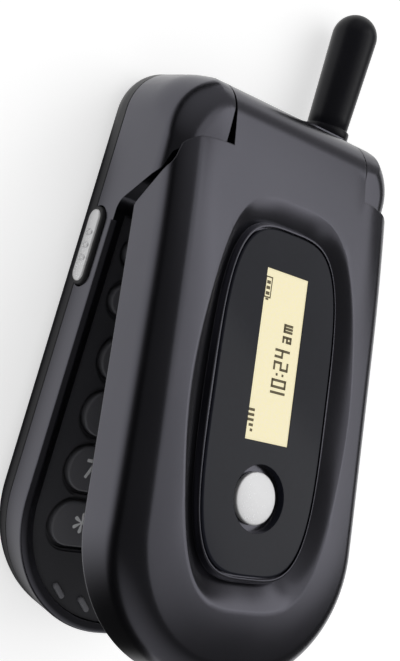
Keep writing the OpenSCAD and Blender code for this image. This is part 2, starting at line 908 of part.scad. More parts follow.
module key_mat() {
    color(rubber_tone)
        difference() {
            key_sheet(mat_top - mat_t, mat_top);
            translate([0, nav_y, 0])
                cylinder(h = rim_z, r = nav_r + 0.9);
        }
}

// ---------- navigation ring ----------

nav_flange_top = deck_z - 0.4;
nav_flange_z = nav_flange_top - 0.35;
actuator_top = mat_top;
module nav_actuator() {
    color(rubber_tone)
        translate([0, nav_y, 0])
            ring_bar(nav_r - 0.8, select_r + 0.7, actuator_top - 0.4, actuator_top);
}

module nav_ring() {
    top = plate_z + key_proud;
    bore = select_r + 0.4;
    color(silver)
        translate([0, nav_y, 0])
            difference() {
                union() {
                    cylinder_between(nav_flange_z, nav_flange_top, nav_r + 0.5);
                    cylinder_between(nav_flange_top - eps, top - 0.3, nav_r);
                    translate([0, 0, top - 0.3])
                        cylinder(h = 0.3, r1 = nav_r, r2 = nav_r - 0.3);
                }
                cylinder_between(nav_flange_z - eps, top + eps, bore);
                // four direction dimples
                for (a = [0:90:270])
                    rotate([0, 0, a])
                        translate([(nav_r + bore) / 2 + 0.2, 0, top + 1.2])
                            sphere(r = 1.5);
            }
}

module cylinder_between(z0, z1, r) {
    translate([0, 0, z0])
        cylinder(h = z1 - z0, r = r);
}

module select_key() {
    top = plate_z + key_proud - 0.1;
    bottom = board_top + dome_h + key_travel + 0.1;
    color(key_grey)
        translate([0, nav_y, 0]) {
            cylinder_between(bottom, top - 0.25, select_r);
            translate([0, 0, top - 0.25])
                cylinder(h = 0.25, r1 = select_r, r2 = select_r - 0.25);
        }
}

// ---------- side and ends ----------

// Rocker: cap with round ends and three raised marks, on a flange inside the wall
module volume_rocker() {
    outer_x = -half_w - rocker_proud;
    color(silver)
        translate([0, rocker_y, rocker_z]) {
            translate([outer_x, 0, 0])
                rotate([90, 0, 90])
                    linear_extrude(rocker_flange_x - outer_x + eps)
                        stadium(rocker_len, rocker_h);
            translate([rocker_flange_x, 0, 0])
                rotate([90, 0, 90])
                    linear_extrude(rocker_flange_t)
                        stadium(rocker_len + 2 * rocker_flange, rocker_h + 2 * rocker_flange);
            for (i = [-1:1])
                translate([outer_x, 2.05 * i, 0])
                    scale([0.4, 1, 1])
                        sphere(r = 0.55, $fn = 20);
        }
}

module rocker_switch() {
    x0 = rocker_flange_x + rocker_flange_t + 0.45;
    color(dark)
        box([x0, rocker_y - 3, board_top], [x0 + 1.6, rocker_y + 3, board_top + 0.9]);
}

mic_place = [0, -39.7];
module microphone() {
    color(steel)
        translate([mic_place[0], mic_place[1], board_top])
            difference() {
                cylinder(h = 1.6, r = 2);
                translate([0, 0, 1.2])
                    cylinder(h = 1, r = 0.4);
            }
}

module loudspeaker() {
    color(dark)
        translate([speaker_place[0], speaker_place[1], wall]) {
            difference() {
                cylinder(h = speaker_h, r = speaker_r);
                translate([0, 0, -eps])
                    cylinder(h = 0.8, r = speaker_r - 0.8);
            }
        }
}

motor_r = 2.1;
motor_len = 7;
module vibration_motor() {
    weight_x = motor_len + 1;
    color(steel)
        translate([-half_w + 8.25, end_y - 8.8, wall + motor_r]) {
            x_cylinder(0, motor_len, motor_r);
            x_cylinder(motor_len - eps, weight_x + 0.2, 0.5);
            // half-round weight
            intersection() {
                x_cylinder(weight_x, weight_x + 3.2, motor_r - 0.1);
                box([weight_x, -motor_r, -motor_r], [weight_x + 3.2, motor_r, 0.5]);
            }
            // rubber cradle's foot
            box([0.5, -1.5, -motor_r], [motor_len - 0.5, 1.5, -motor_r + 0.9]);
        }
}

module headset_jack() {
    color(dark)
        translate([jack_x, 0, jack_z])
            difference() {
                box([-jack_w / 2, jack_y1 - jack_len, -jack_h / 2], [jack_w / 2, jack_y1 - eps, jack_h / 2]);
                y_cylinder(jack_y1 - jack_len + 1, jack_y1 + 1, jack_hole_r);
            }
}

// Rubber cover with a stub that goes into the jack's hole: swings about its left end
jack_cover_t = 1;
jack_cover_h = 4.4;
jack_cover_y = end_y + slide_gap;
module jack_cover() {
    color(rubber_tone) {
        translate([jack_x, jack_cover_y + jack_cover_t, jack_z])
            rotate([90, 0, 0])
                stadium_bar(jack_cover_w, jack_cover_h, 0, jack_cover_t);
        translate([jack_x, 0, jack_z])
            y_cylinder(end_y - 0.65, jack_cover_y + eps, jack_hole_r - 0.25);
    }
}

module charging_port() {
    color(steel)
        difference() {
            box([-port_w / 2, port_y0, port_z - port_h / 2],
                [port_w / 2, port_y0 + port_len, port_z + port_h / 2]);
            difference() {
                box([-port_w / 2 + 0.3, port_y0 - eps, port_z - port_h / 2 + 0.3],
                    [port_w / 2 - 0.3, port_y0 + port_len - 0.5, port_z + port_h / 2 - 0.3]);
                // contact tongue
                box([-port_w / 2 + 1.2, port_y0 + 1, port_z - 0.35],
                    [port_w / 2 - 1.2, port_y0 + port_len, port_z + 0.35]);
            }
        }
}

// Stub antenna: one turned shape with a collar, a slight taper and a domed tip
insert_y0 = end_y - 3.6;
insert_y1 = boss_end_y - 0.15;
module antenna() {
    collar_t = 1.4;
    tip = antenna_len - antenna_r;
    color(black)
        translate([antenna_x, boss_end_y + seat_gap, antenna_z])
            rotate([-90, 0, 0]) {
                rotate_extrude()
                    polygon(concat(
                        [[0, 0], [boss_r - 0.45, 0], [boss_r - 0.15, 0.3], [boss_r - 0.15, collar_t - 0.3]],
                        [[boss_r - 0.45, collar_t], [antenna_foot_r, collar_t + 0.1], [antenna_r, tip]],
                        arc([0, tip], antenna_r, 9, 90, 9)
                    ));
                translate([0, 0, -3.2])
                    cylinder(h = 3.2 + eps, r = stud_r);
            }
}

module antenna_insert() {
    color(brass_tone)
        translate([antenna_x, 0, antenna_z])
            difference() {
                y_cylinder(insert_y0, insert_y1, insert_r - seat_gap / 2);
                y_cylinder(insert_y0 + 0.5, insert_y1 + 1, stud_r + seat_gap);
            }
}

// ---------- hinge ----------

module hinge_cartridge() {
    x0 = -half_w + cartridge_wall + seat_gap;
    color(steel)
        at_hinge() {
            x_cylinder(x0, knuckle_x0 - 0.05, cartridge_r);
            x_cylinder(knuckle_x0 - 0.05 - eps, shaft_x1, shaft_r);
        }
}

module hinge_cam() {
    color(steel)
        on_lid()
            at_hinge()
                difference() {
                    x_cylinder(barrel_x0 + 0.1, cam_x1, cartridge_r);
                    x_cylinder(barrel_x0, shaft_x1 + 0.3, shaft_r + turn_clearance);
                }
}

module hinge_pivot() {
    color(steel)
        at_hinge()
            difference() {
                x_cylinder(barrel_x1 - lid_wall_end, half_w - lid_wall_end - seat_gap, pivot_r - eps);
                x_cylinder(barrel_x1 - lid_wall_end - 1, half_w, pivot_bore_r);
            }
}

screw_len = rim_z - 2.6;
module housing_screws() {
    color(steel)
        for (p = base_screws)
            translate([p[0], p[1], 0]) {
                cylinder_between(1, 2.15, head_r);
                cylinder_between(2.1, screw_len - 0.2, screw_r);
            }
}

// ---------- lid ----------

module dished_ring() {
    depth_out = 0.3;
    hull() {
        oval_slab(lens_groove, lens_z + lens_t - 0.45, lens_z + lens_t - 0.44);
        oval_slab(moat_w * 0.55, closed_z - moat_depth * 0.62, closed_z - moat_depth * 0.62 + eps);
        oval_slab(moat_w + 0.6, closed_z + depth_out, closed_z + depth_out + eps);
    }
}

module lid_posts(z0) {
    for (p = lid_screw_places)
        translate([p[0], p[1], z0])
            cylinder(h = lid_cavity_top - z0 + eps, r = post_r + 0.3);
}

module lid_outer_shell() {
    color(black)
        on_lid()
            difference() {
                union() {
                    intersection() {
                        upper_form(lid_z, lid_end_y);
                        union() {
                            along_x(-half_w, half_w)
                                lid_profile();
                            box([barrel_x0, ramp_y + 2.5, neck_z], [barrel_x1, hinge_y, above_z]);
                        }
                    }
                    at_hinge()
                        x_cylinder(barrel_x0, barrel_x1, barrel_r);
                }
                dished_ring();
                oval_slab(lens_groove, lens_z, above_z);
                // opening for the outer display and the disc's well
                box([-display_w / 2 - 0.7, display_y - display_len / 2 - 0.7, lid_cavity_top - eps],
                    [display_w / 2 + 0.7, display_y + display_len / 2 + 0.7, above_z]);
                translate([0, disc_y, lens_z - 0.3])
                    cylinder(h = 5, r = disc_well_r);
                // cavity for the electronics, with four screw posts
                difference() {
                    intersection() {
                        translate([0, 0, lid_z - eps])
                            linear_extrude(lid_cavity_top - lid_z)
                                polygon(outline(lid_end_y, wall));
                        box([-half_w, -end_y, lid_z - 1], [half_w, lid_cavity_y1, above_z]);
                    }
                    lid_posts(inner_top);
                }
                for (p = lid_screw_places)
                    translate([p[0], p[1], inner_top - eps])
                        cylinder(h = 4, r = screw_r);
                // room for the cam, the rolled cable and the pivot
                at_hinge() {
                    x_cylinder(barrel_x0 - eps, cam_x1 + 0.2, cartridge_r + seat_gap);
                    x_cylinder(cable_x0 - 1.2, barrel_x1 - lid_wall_end, cable_roll_r + 0.5);
                    x_cylinder(barrel_x1 - lid_wall_end - eps, barrel_x1 + eps, pivot_r + turn_clearance);
                }
                box([cable_x0 - 0.4, lid_cavity_y1 - eps, cable_z - 0.3],
                    [cable_x1 + 0.4, hinge_y, cable_z + cable_t + 0.3]);
            }
}

module lid_inner_shell() {
    color(dark)
        on_lid()
            difference() {
                intersection() {
                    key_outline_lid(wall + 0.1, lid_z, inner_top);
                    box([-half_w, -end_y, lid_z], [half_w, lid_cavity_y1 - 0.1, inner_top]);
                }
                // window recess and opening
                box([-window_w / 2 - 0.1, window_y - window_len / 2 - 0.1, lid_z - 1],
                    [window_w / 2 + 0.1, window_y + window_len / 2 + 0.1, lid_z + window_t + seat_gap]);
                box([-window_w / 2 + window_lip, window_y - window_len / 2 + window_lip, lid_z],
                    [window_w / 2 - window_lip, window_y + window_len / 2 - window_lip, inner_top + 1]);
                // earpiece grille's recess and sound holes
                translate([0, grille_y, 0]) {
                    stadium_bar(11.2, 3.2, lid_z - 1, lid_z + 0.5);
                    for (i = [-2:2])
                        translate([i * 1.8, 0, 0])
                            cylinder(h = inner_top + 1, r = 0.45);
                }
                for (p = lid_screw_places)
                    translate([p[0], p[1], lid_z - eps]) {
                        cylinder(h = inner_shell_t - 0.4, r = head_r + 0.35);
                        cylinder(h = inner_shell_t + 1, r = screw_r + seat_gap);
                    }
            }
}

module key_outline_lid(inset, z0, z1) {
    translate([0, 0, z0])
        linear_extrude(z1 - z0)
            polygon(outline(lid_end_y, inset));
}

module lens_panel() {
    color(dark)
        on_lid()
            difference() {
                hull() {
                    oval_slab(0, lens_z, lens_top - 0.25);
                    oval_slab(-0.3, lens_top - 0.2, lens_top);
                }
                translate([0, disc_y, lens_z - eps])
                    cylinder(h = lens_t + 1, r = disc_well_r);
            }
}

module outer_display() {
    color(cream)
        on_lid()
            translate([0, display_y, 0]) {
                box([-display_w / 2 - 1.8, -display_len / 2 - 2, lid_cavity_top - 2.3],
                    [display_w / 2 + 1.8, display_len / 2 + 2, lid_cavity_top - seat_gap]);
                box([-display_w / 2 - 0.5, -display_len / 2 - 0.5, lid_cavity_top - 0.1],
                    [display_w / 2 + 0.5, display_len / 2 + 0.5, lens_z - seat_gap]);
            }
}

module emblem_disc() {
    color(silver)
        on_lid()
            translate([0, disc_y, lens_z - 0.3]) {
                cylinder(h = disc_t - 0.2, r = disc_r);
                translate([0, 0, disc_t - 0.2 - eps])
                    cylinder(h = 0.2, r1 = disc_r, r2 = disc_r - 0.2);
            }
}

module inner_window() {
    color([0.2, 0.22, 0.25, 0.5])
        on_lid()
            box([-window_w / 2, window_y - window_len / 2, lid_z],
                [window_w / 2, window_y + window_len / 2, lid_z + window_t]);
}

module inner_display() {
    color(dark)
        on_lid()
            box([-window_w / 2 - 0.4, window_y - window_len / 2 - 0.6, inner_display_z],
                [window_w / 2 + 0.4, window_y + window_len / 2 + 0.6, inner_display_z + inner_display_t]);
}

module earpiece() {
    color(steel)
        on_lid()
            translate([0, grille_y, inner_display_z])
                difference() {
                    stadium_bar(12, 5.6, 0, inner_display_t - 0.1);
                    for (i = [-2:2])
                        translate([i * 1.8, 0, -eps])
                            cylinder(h = 0.5, r = 0.45);
                }
}

module earpiece_grille() {
    color(silver)
        on_lid()
            translate([0, grille_y, 0])
                difference() {
                    stadium_bar(11, 3, lid_z, lid_z + 0.45);
                    for (i = [-3:3])
                        translate([i * 1.3, 0, lid_z - eps])
                            rotate([0, 0, 90])
                                stadium_bar(i % 3 == 0 && i != 0 ? 1.4 : 2, 0.6, 0, 1);
                }
}

module lid_board() {
    color(board_green)
        on_lid()
            difference() {
                intersection() {
                    key_outline_lid(wall + 5.2, lid_board_z, lid_board_z + lid_board_t);
                    box([-half_w, -end_y, 0], [half_w, lid_cavity_y1 - 1.2, above_z]);
                }
                for (p = lid_screw_places)
                    translate([p[0], p[1], lid_board_z - eps])
                        cylinder(h = lid_board_t + 2 * eps, r = post_r + 0.6);
            }
}

// Flat cable: a tongue from the lid's board through the neck, rolled up inside the barrel
cable_x0 = 5.5;
cable_x1 = 12.5;
cable_t = 0.3;
cable_roll_r = 4.1;
cable_z = neck_z + 1;
module flex_cable() {
    color(brass_tone)
        on_lid() {
            box([cable_x0, lid_cavity_y1 - 6, cable_z], [cable_x1, hinge_y - 3, cable_z + cable_t]);
            box([cable_x0, lid_cavity_y1 - 6, lid_board_z + lid_board_t],
                [cable_x1, lid_cavity_y1 - 4, cable_z + eps]);
            at_hinge()
                difference() {
                    x_cylinder(cable_x0, cable_x1, cable_roll_r);
                    x_cylinder(cable_x0 - 1, cable_x1 + 1, cable_roll_r - cable_t);
                }
        }
}

module lid_screws() {
    color(steel)
        on_lid()
            for (p = lid_screw_places)
                translate([p[0], p[1], 0]) {
                    cylinder_between(inner_top - 0.9, inner_top - 0.45, head_r);
                    cylinder_between(inner_top - 0.46, inner_top + 3.8, screw_r);
                }
}

module screw_plugs() {
    color(rubber_tone)
        on_lid()
            for (p = lid_screw_places)
                translate([p[0], p[1], 0])
                    cylinder_between(lid_z + 0.05, lid_z + 0.5, head_r + 0.3);
}

// ---------- parts ----------

rear_housing();
front_housing();
keypad_plate();
rest_pads();
battery_cover();
battery();
battery_contacts();
main_board();
shield_can();
dome_sheet();
key_mat();
number_key(-1, 0);  // key_1
number_key(0, 0);  // key_2
number_key(1, 0);  // key_3
number_key(-1, 1);  // key_4
number_key(0, 1);  // key_5
number_key(1, 1);  // key_6
number_key(-1, 2);  // key_7
number_key(0, 2);  // key_8
number_key(1, 2);  // key_9
number_key(-1, 3);  // key_star
number_key(0, 3);  // key_0
number_key(1, 3);  // key_hash
side_key(0);  // soft_key_left
side_key(1);  // soft_key_right
side_key(2);  // send_key
side_key(3);  // end_key
nav_actuator();
nav_ring();
select_key();
volume_rocker();
rocker_switch();
microphone();
loudspeaker();
vibration_motor();
headset_jack();
jack_cover();
charging_port();
antenna();
antenna_insert();
hinge_cartridge();
hinge_cam();
hinge_pivot();
housing_screws();
lid_outer_shell();
lid_inner_shell();
lens_panel();
outer_display();
emblem_disc();
inner_window();
inner_display();
earpiece();
earpiece_grille();
lid_board();
flex_cable();
lid_screws();
screw_plugs();
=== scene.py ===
"""Flip phone with a stub antenna.

Smooth housings, keys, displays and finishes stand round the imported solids.
Shapes are worked out in millimetres in the phone's own frame (back down, hinge towards +Y) and are
scaled to metres when a piece is placed.
"""

import logging
import math
from dataclasses import dataclass, field
from enum import Enum
from typing import Callable, Iterable, Sequence, Union

import bmesh
import bpy
from mathutils import Matrix, Vector

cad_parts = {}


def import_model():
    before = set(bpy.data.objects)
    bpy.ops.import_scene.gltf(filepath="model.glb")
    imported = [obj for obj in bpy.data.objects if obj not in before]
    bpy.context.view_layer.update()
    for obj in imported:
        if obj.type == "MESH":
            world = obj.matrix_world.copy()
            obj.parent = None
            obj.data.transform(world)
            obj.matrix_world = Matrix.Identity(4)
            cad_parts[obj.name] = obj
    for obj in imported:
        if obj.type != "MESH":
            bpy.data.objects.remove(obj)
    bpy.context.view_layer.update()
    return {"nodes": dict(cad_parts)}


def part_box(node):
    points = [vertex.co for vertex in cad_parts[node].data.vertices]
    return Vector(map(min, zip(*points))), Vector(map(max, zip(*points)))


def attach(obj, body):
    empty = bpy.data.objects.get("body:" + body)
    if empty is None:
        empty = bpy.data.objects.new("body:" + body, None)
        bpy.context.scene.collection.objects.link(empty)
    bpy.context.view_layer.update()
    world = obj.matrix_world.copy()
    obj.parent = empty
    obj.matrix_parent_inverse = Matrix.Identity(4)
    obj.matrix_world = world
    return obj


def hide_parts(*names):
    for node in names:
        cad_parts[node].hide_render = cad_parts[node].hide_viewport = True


log = logging.getLogger("flip_phone")

MM = 0.001  # metres
EPS = 0.01  # overlap of shapes that are cut or joined, in millimetres
HIGH = 40.0  # height above all of the phone
PRINT_DEPTH = 0.02  # thickness of printed marks
Point = tuple[float, float]
Ring = list[tuple[float, float, float]]
Number = Union[int, float]
Colour = tuple[float, float, float]


# ---------------------------------------------------------------- sizes


@dataclass(frozen=True)
class PhoneSizes:
    """Main sizes of the phone, in millimetres."""

    width: float = 46.5
    length: float = 90.6
    tub_height: float = 5.8
    frame_height: float = 5.6
    wall: float = 1.3
    bottom_round: float = 21.0
    bottom_flat: float = 4.5
    top_radius: float = 8.0
    back_edge: float = 4.5
    rim_edge: float = 1.0
    hinge_inset: float = 7.35
    hinge_rise: float = 3.2
    barrel_radius: float = 7.2
    left_knuckle: float = 9.0
    right_knuckle: float = 8.0
    knuckle_gap: float = 0.2
    knuckle_taper: float = 0.9
    pocket_gap: float = 0.3
    ramp_foot: float = 15.1
    ramp_shoulder: float = 9.1
    ramp_rise: float = 8.1
    seam_radius: float = 8.5
    lid_thickness: float = 11.4
    lid_gap: float = 0.3
    lid_setback: float = 1.05
    lid_open: float = 14.0
    shoulder_height: float = 5.2
    shoulder_width: float = 4.2
    crown_rise: float = 0.3
    hinge_fall: float = 1.267
    hinge_fall_from: float = 10.0
    free_fall: float = 0.8
    free_fall_from: float = -18.0
    neck_rise: float = 0.9
    cartridge_bore: float = 4.55
    top_soften: float = 0.2
    side_steps: int = 24
    corner_steps: int = 16
    end_steps: int = 12
    screw_places: Sequence[Point] = ((20.4, -27), (-20.4, -27), (19.3, 33.5), (-19.3, 33.5))
    plate_sink: float = 0.6
    rim_width: float = 1.9

    @property
    def half(self) -> float:
        """Half of the phone's width."""
        return self.width / 2

    @property
    def end(self) -> float:
        """Distance of either end from the middle."""
        return self.length / 2

    @property
    def rim(self) -> float:
        """Height of the frame's rim."""
        return self.tub_height + self.frame_height

    @property
    def hinge(self) -> Point:
        """Hinge axis in Y and Z."""
        return self.end - self.hinge_inset, self.rim + self.hinge_rise

    @property
    def closed(self) -> float:
        """Height of the crown on the closed phone."""
        return self.rim + self.lid_gap + self.lid_thickness

    @property
    def lid_low(self) -> float:
        """Height of the lid's underside on the closed phone."""
        return self.rim + self.lid_gap

    @property
    def lid_end(self) -> float:
        """Y of the lid's free end."""
        return -self.end + self.lid_setback

    @property
    def ramp_y(self) -> float:
        """Y of the ramp's foot."""
        return self.hinge[0] - self.ramp_foot

    @property
    def knuckles(self) -> Point:
        """X of the two knuckles' inner ends."""
        return -self.half + self.left_knuckle, self.half - self.right_knuckle

    @property
    def barrel(self) -> Point:
        """X of the barrel's two ends."""
        low, high = self.knuckles
        return low + self.knuckle_gap, high - self.knuckle_gap

    @property
    def plate(self) -> float:
        """Height of the keypad plate's face."""
        return self.rim - self.plate_sink

    def fall(self, y: float) -> float:
        """How far the crown has fallen at a place along the lid.

        Args:
            y: Place along the phone.

        Returns:
            The fall below the crown's highest line.
        """
        for start, end, fall in ((self.hinge_fall_from, self.hinge[0], self.hinge_fall),
                                 (self.free_fall_from, self.lid_end, self.free_fall)):
            share = (y - start) / (end - start)
            if share > 0:
                return fall * share ** 2
        return 0.0

    def outline(self, bottom: float, inset: float, fine: int = 36,
                soften: float = 0.0) -> list[Point]:
        """Outline of the body seen from above, anticlockwise from the bottom end.

        Args:
            bottom: Y of the bottom end before the inset.
            inset: How far the outline is moved in.
            fine: Steps round each bottom corner.
            soften: What is added to the radius of the top corners.

        Returns:
            Points whose second half mirrors the first, but for the softened corner.
        """
        half = self.half - inset
        radius_y = max(self.bottom_round - inset, 0.5)
        radius_x = half - self.bottom_flat / 2
        y0 = bottom + inset + radius_y
        low = [(self.bottom_flat / 2 + radius_x * c, y0 + radius_y * s)
               for c, s in arc((0, 0), 1, -90, 0, fine)]
        sides = []
        for share in (self.top_soften, 1.0):
            top = max(self.top_radius + soften * share - inset, 0.5)
            y1 = self.end - inset - top
            side = low + [(half, y0 + (y1 - y0) * i / self.side_steps)
                          for i in range(1, self.side_steps)]
            side += arc((half - top, y1), top, 0, 90, self.corner_steps)
            sides.append(side + [((half - top) * (1 - i / self.end_steps), y1 + top)
                                 for i in range(1, self.end_steps)])
        right, left = sides
        return right + [(-x, y) for x, y in reversed(left)]


def arc(centre: Point, radius: float, start: float, end: float, steps: int) -> list[Point]:
    """Points along an arc.

    Args:
        centre: Centre of the arc.
        radius: Its radius.
        start: First angle in degrees.
        end: Last angle in degrees.
        steps: Number of steps between them.

    Returns:
        steps + 1 points.
    """
    angles = [math.radians(start + (end - start) * i / steps) for i in range(steps + 1)]
    return [(centre[0] + radius * math.cos(a), centre[1] + radius * math.sin(a)) for a in angles]


SIZES = PhoneSizes()


@dataclass(frozen=True)
class SideProfile:
    """Lines in Y and Z that part the lid from the knuckles."""

    sizes: PhoneSizes = SIZES
    seam_start: float = 138.0
    crown_slope: float = 5.3
    ledge_angle: float = -62.0
    ledge_rise: float = 4.1
    seam_over: float = 0.4
    foot_round: float = 3.0
    shoulder_round: float = 2.2
    beyond: float = 5.0
    round_steps: int = 14

    @property
    def above(self) -> float:
        """A height above everything."""
        return self.sizes.closed + self.beyond

    @property
    def crown_end(self) -> float:
        """Y at which the crown runs into the barrel."""
        s = self.sizes
        return s.hinge[0] + s.barrel_radius * math.sin(math.radians(self.crown_slope))

    @property
    def ledge(self) -> float:
        """Height of the ledge behind the barrel."""
        return self.sizes.tub_height + self.ledge_rise

    def on_seam(self, angle: float, shift: float) -> Point:
        """Point of the round seam, shift outside its radius."""
        r = self.sizes.seam_radius + shift
        y, z = self.sizes.hinge
        return y + r * math.cos(math.radians(angle)), z + r * math.sin(math.radians(angle))

    def seam_end(self, shift: float) -> float:
        """Angle at which the seam meets the crown."""
        s = self.sizes
        rise = s.closed - s.hinge_fall + self.seam_over - s.hinge[1]
        return 180 - math.degrees(math.asin(rise / (s.seam_radius + shift)))

    def ramp(self, shift: float) -> list[Point]:
        """Line from the rim up the ramp and round the seam.

        Args:
            shift: Distance towards the lid.

        Returns:
            Points from the free end to the crown.
        """
        s = self.sizes
        a = Vector((s.ramp_y - 30, s.rim))
        b = Vector((s.ramp_y, s.rim))
        c = Vector((s.hinge[0] - s.ramp_shoulder, s.rim + s.ramp_rise))
        e = Vector(self.on_seam(self.seam_start, 0))
        b1 = moved_corner(a, b, c, shift)
        c1 = moved_corner(b, c, e, shift)
        e1 = Vector(self.on_seam(self.seam_start, shift))
        steps = self.round_steps
        return (rounded_corner(Vector((a.x, b1.y)), b1, c1, self.foot_round - shift, steps)
                + rounded_corner(b1, c1, e1, self.shoulder_round + shift, steps)
                + arc(s.hinge, s.seam_radius + shift, self.seam_start, self.seam_end(shift), 12))

    def base(self) -> list[Point]:
        """Outline of the base between the ramp's foot and the top end."""
        s = self.sizes
        start = s.ramp_y - 3
        return ([(start, s.tub_height), (start, s.rim)]
                + self.ramp(0)
                + [(self.on_seam(self.seam_end(0), 0)[0], self.above), (self.crown_end, self.above)]
                + arc(s.hinge, s.barrel_radius, 90 - self.crown_slope, self.ledge_angle, 60)
                + [(s.end, self.ledge), (s.end, s.tub_height)])

    def lid(self) -> list[Point]:
        """Outline of all that is above the rim, the ramp and the seam."""
        s = self.sizes
        gap, start = s.lid_gap, -s.end - self.beyond
        return ([(start, s.lid_low)]
                + self.ramp(gap)
                + [(self.on_seam(self.seam_end(gap), gap)[0], self.above), (start, self.above)])


def moved_corner(a: Vector, b: Vector, c: Vector, shift: float) -> Vector:
    """Corner b of the path a-b-c, moved to the left of the path."""
    n1, n2 = (Vector((-d.y, d.x)) for d in ((b - a).normalized(), (c - b).normalized()))
    return b + shift * (n1 + n2) / (1 + n1.dot(n2))


def rounded_corner(a: Vector, b: Vector, c: Vector, radius: float, steps: int) -> list[Point]:
    """Arc that rounds corner b of the path a-b-c.

    Args:
        a: Point before the corner.
        b: The corner.
        c: Point after it.
        radius: Radius of the arc.
        steps: Steps along it.

    Returns:
        Points of the arc.
    """
    u, v = (a - b).normalized(), (c - b).normalized()
    half = math.acos(max(-1, min(1, u.dot(v)))) / 2
    centre = b + (u + v).normalized() * radius / math.sin(half)
    p, q = (b + w * radius / math.tan(half) for w in (u, v))
    a0 = math.degrees(math.atan2(p.y - centre.y, p.x - centre.x))
    a1 = math.degrees(math.atan2(q.y - centre.y, q.x - centre.x))
    turn = (a1 - a0 + 180) % 360 - 180
    return arc((centre.x, centre.y), radius, a0, a0 + turn, steps)


def stadium(width: float, height: float, steps: int = 20, centre: Point = (0, 0)) -> list[Point]:
    """Outline of a bar with round ends that lies along X.

    Args:
        width: Whole length of the bar.
        height: Its height.
        steps: Steps round each end.
        centre: Its middle.

    Returns:
        Points, anticlockwise.
    """
    run = max((width - height) / 2, 0.001)
    r = height / 2
    return (arc((centre[0] + run, centre[1]), r, -90, 90, steps)
            + arc((centre[0] - run, centre[1]), r, 90, 270, steps))


# ---------------------------------------------------------------- solids


class Op(Enum):
    """Ways to join closed shapes."""

    CUT = "DIFFERENCE"
    JOIN = "UNION"
    MEET = "INTERSECT"


class Solid:
    """A closed shape under construction, in millimetres."""

    def __init__(self, points: Sequence[Sequence[float]], faces: Sequence[Sequence[int]]) -> None:
        """Makes the mesh.

        Args:
            points: Its corners.
            faces: Its faces, as indices of corners.
        """
        mesh = bpy.data.meshes.new("form")
        mesh.from_pydata([tuple(p) for p in points], [], [tuple(f) for f in faces])
        bm = bmesh.new()
        bm.from_mesh(mesh)
        bmesh.ops.remove_doubles(bm, verts=bm.verts, dist=1e-5)
        bmesh.ops.recalc_face_normals(bm, faces=bm.faces)
        bm.to_mesh(mesh)
        bm.free()
        self.obj = bpy.data.objects.new("form", mesh)
        bpy.context.scene.collection.objects.link(self.obj)

    def _join(self, op: Op, others: Iterable["Solid"]) -> "Solid":
        """Applies one boolean for each other shape, and removes those shapes."""
        for other in others:
            before = len(self.obj.data.vertices)
            for solver in ("MANIFOLD", "EXACT"):
                mod = self.obj.modifiers.new("join", "BOOLEAN")
                mod.operation, mod.solver, mod.object = op.value, solver, other.obj
                mesh = evaluated_mesh(self.obj)
                self.obj.modifiers.clear()
                if len(mesh.vertices) > 3:
                    break
                log.warning("%s gave nothing with %s, from %d corners", op.name, solver, before)
            old, self.obj.data = self.obj.data, mesh
            bpy.data.meshes.remove(old)
            other.drop()
        return self

    def cut(self, *others: "Solid") -> "Solid":
        """This shape without the others."""
        return self._join(Op.CUT, others)

    def join(self, *others: "Solid") -> "Solid":
        """This shape together with the others."""
        return self._join(Op.JOIN, others)

    def meet(self, *others: "Solid") -> "Solid":
        """What this shape shares with the others."""
        return self._join(Op.MEET, others)

    def moved(self, x: float = 0, y: float = 0, z: float = 0) -> "Solid":
        """The shape, shifted."""
        return self.turned(Matrix.Translation((x, y, z)))

    def turned(self, matrix: Matrix) -> "Solid":
        """The shape, transformed."""
        self.obj.data.transform(matrix)
        if matrix.determinant() < 0:
            self.obj.data.flip_normals()
        return self

    def drop(self) -> None:
        """Removes the shape."""
        mesh = self.obj.data
        bpy.data.objects.remove(self.obj)
        bpy.data.meshes.remove(mesh)


def evaluated_mesh(obj: bpy.types.Object) -> bpy.types.Mesh:
    """Plain mesh of an object with its modifiers applied."""
    bpy.context.view_layer.update()
    graph = bpy.context.evaluated_depsgraph_get()
    return bpy.data.meshes.new_from_object(obj.evaluated_get(graph))


def merged(solids: Sequence[Solid]) -> Solid:
    """Several shapes that don't touch, as one.

    Args:
        solids: The shapes, which are used up.

    Returns:
        One shape with all their meshes.
    """
    bm = bmesh.new()
    for solid in solids:
        bm.from_mesh(solid.obj.data)
        solid.drop()
    result = Solid([], [])
    bm.to_mesh(result.obj.data)
    bm.free()
    return result


def prism(outline: Sequence[Point], low: float, high: float, axis: str = "Z") -> Solid:
    """Outline extruded along an axis.

    Args:
        outline: Points, in X and Y, or in Y and Z for the X axis, or in X and Z for the Y axis.
        low: Where it starts.
        high: Where it ends.
        axis: X, Y or Z.

    Returns:
        The closed shape.
    """
    place: dict[str, Callable[[Point, float], tuple]] = {
        "Z": lambda p, h: (p[0], p[1], h),
        "X": lambda p, h: (h, p[0], p[1]),
        "Y": lambda p, h: (p[0], h, p[1]),
    }
    n = len(outline)
    points = [place[axis](p, h) for h in (low, high) for p in outline]
    faces = [list(range(n - 1, -1, -1)), list(range(n, 2 * n))]
    faces += [[i, (i + 1) % n, (i + 1) % n + n, i + n] for i in range(n)]
    return Solid(points, faces)


def box(low: Sequence[float], high: Sequence[float]) -> Solid:
    """Box between two corners."""
    outline = [(low[0], low[1]), (high[0], low[1]), (high[0], high[1]), (low[0], high[1])]
    return prism(outline, low[2], high[2])


def cylinder(centre: Sequence[float], radius: float, low: float, high: float,
             axis: str = "Z", steps: int = 96) -> Solid:
    """Cylinder along an axis.

    Args:
        centre: Its axis's place in the two other directions.
        radius: Its radius.
        low: Where it starts.
        high: Where it ends.
        axis: X, Y or Z.
        steps: Sides of its circle.

    Returns:
        The closed shape.
    """
    return prism(arc((centre[0], centre[1]), radius, 0, 360, steps)[:-1], low, high, axis)


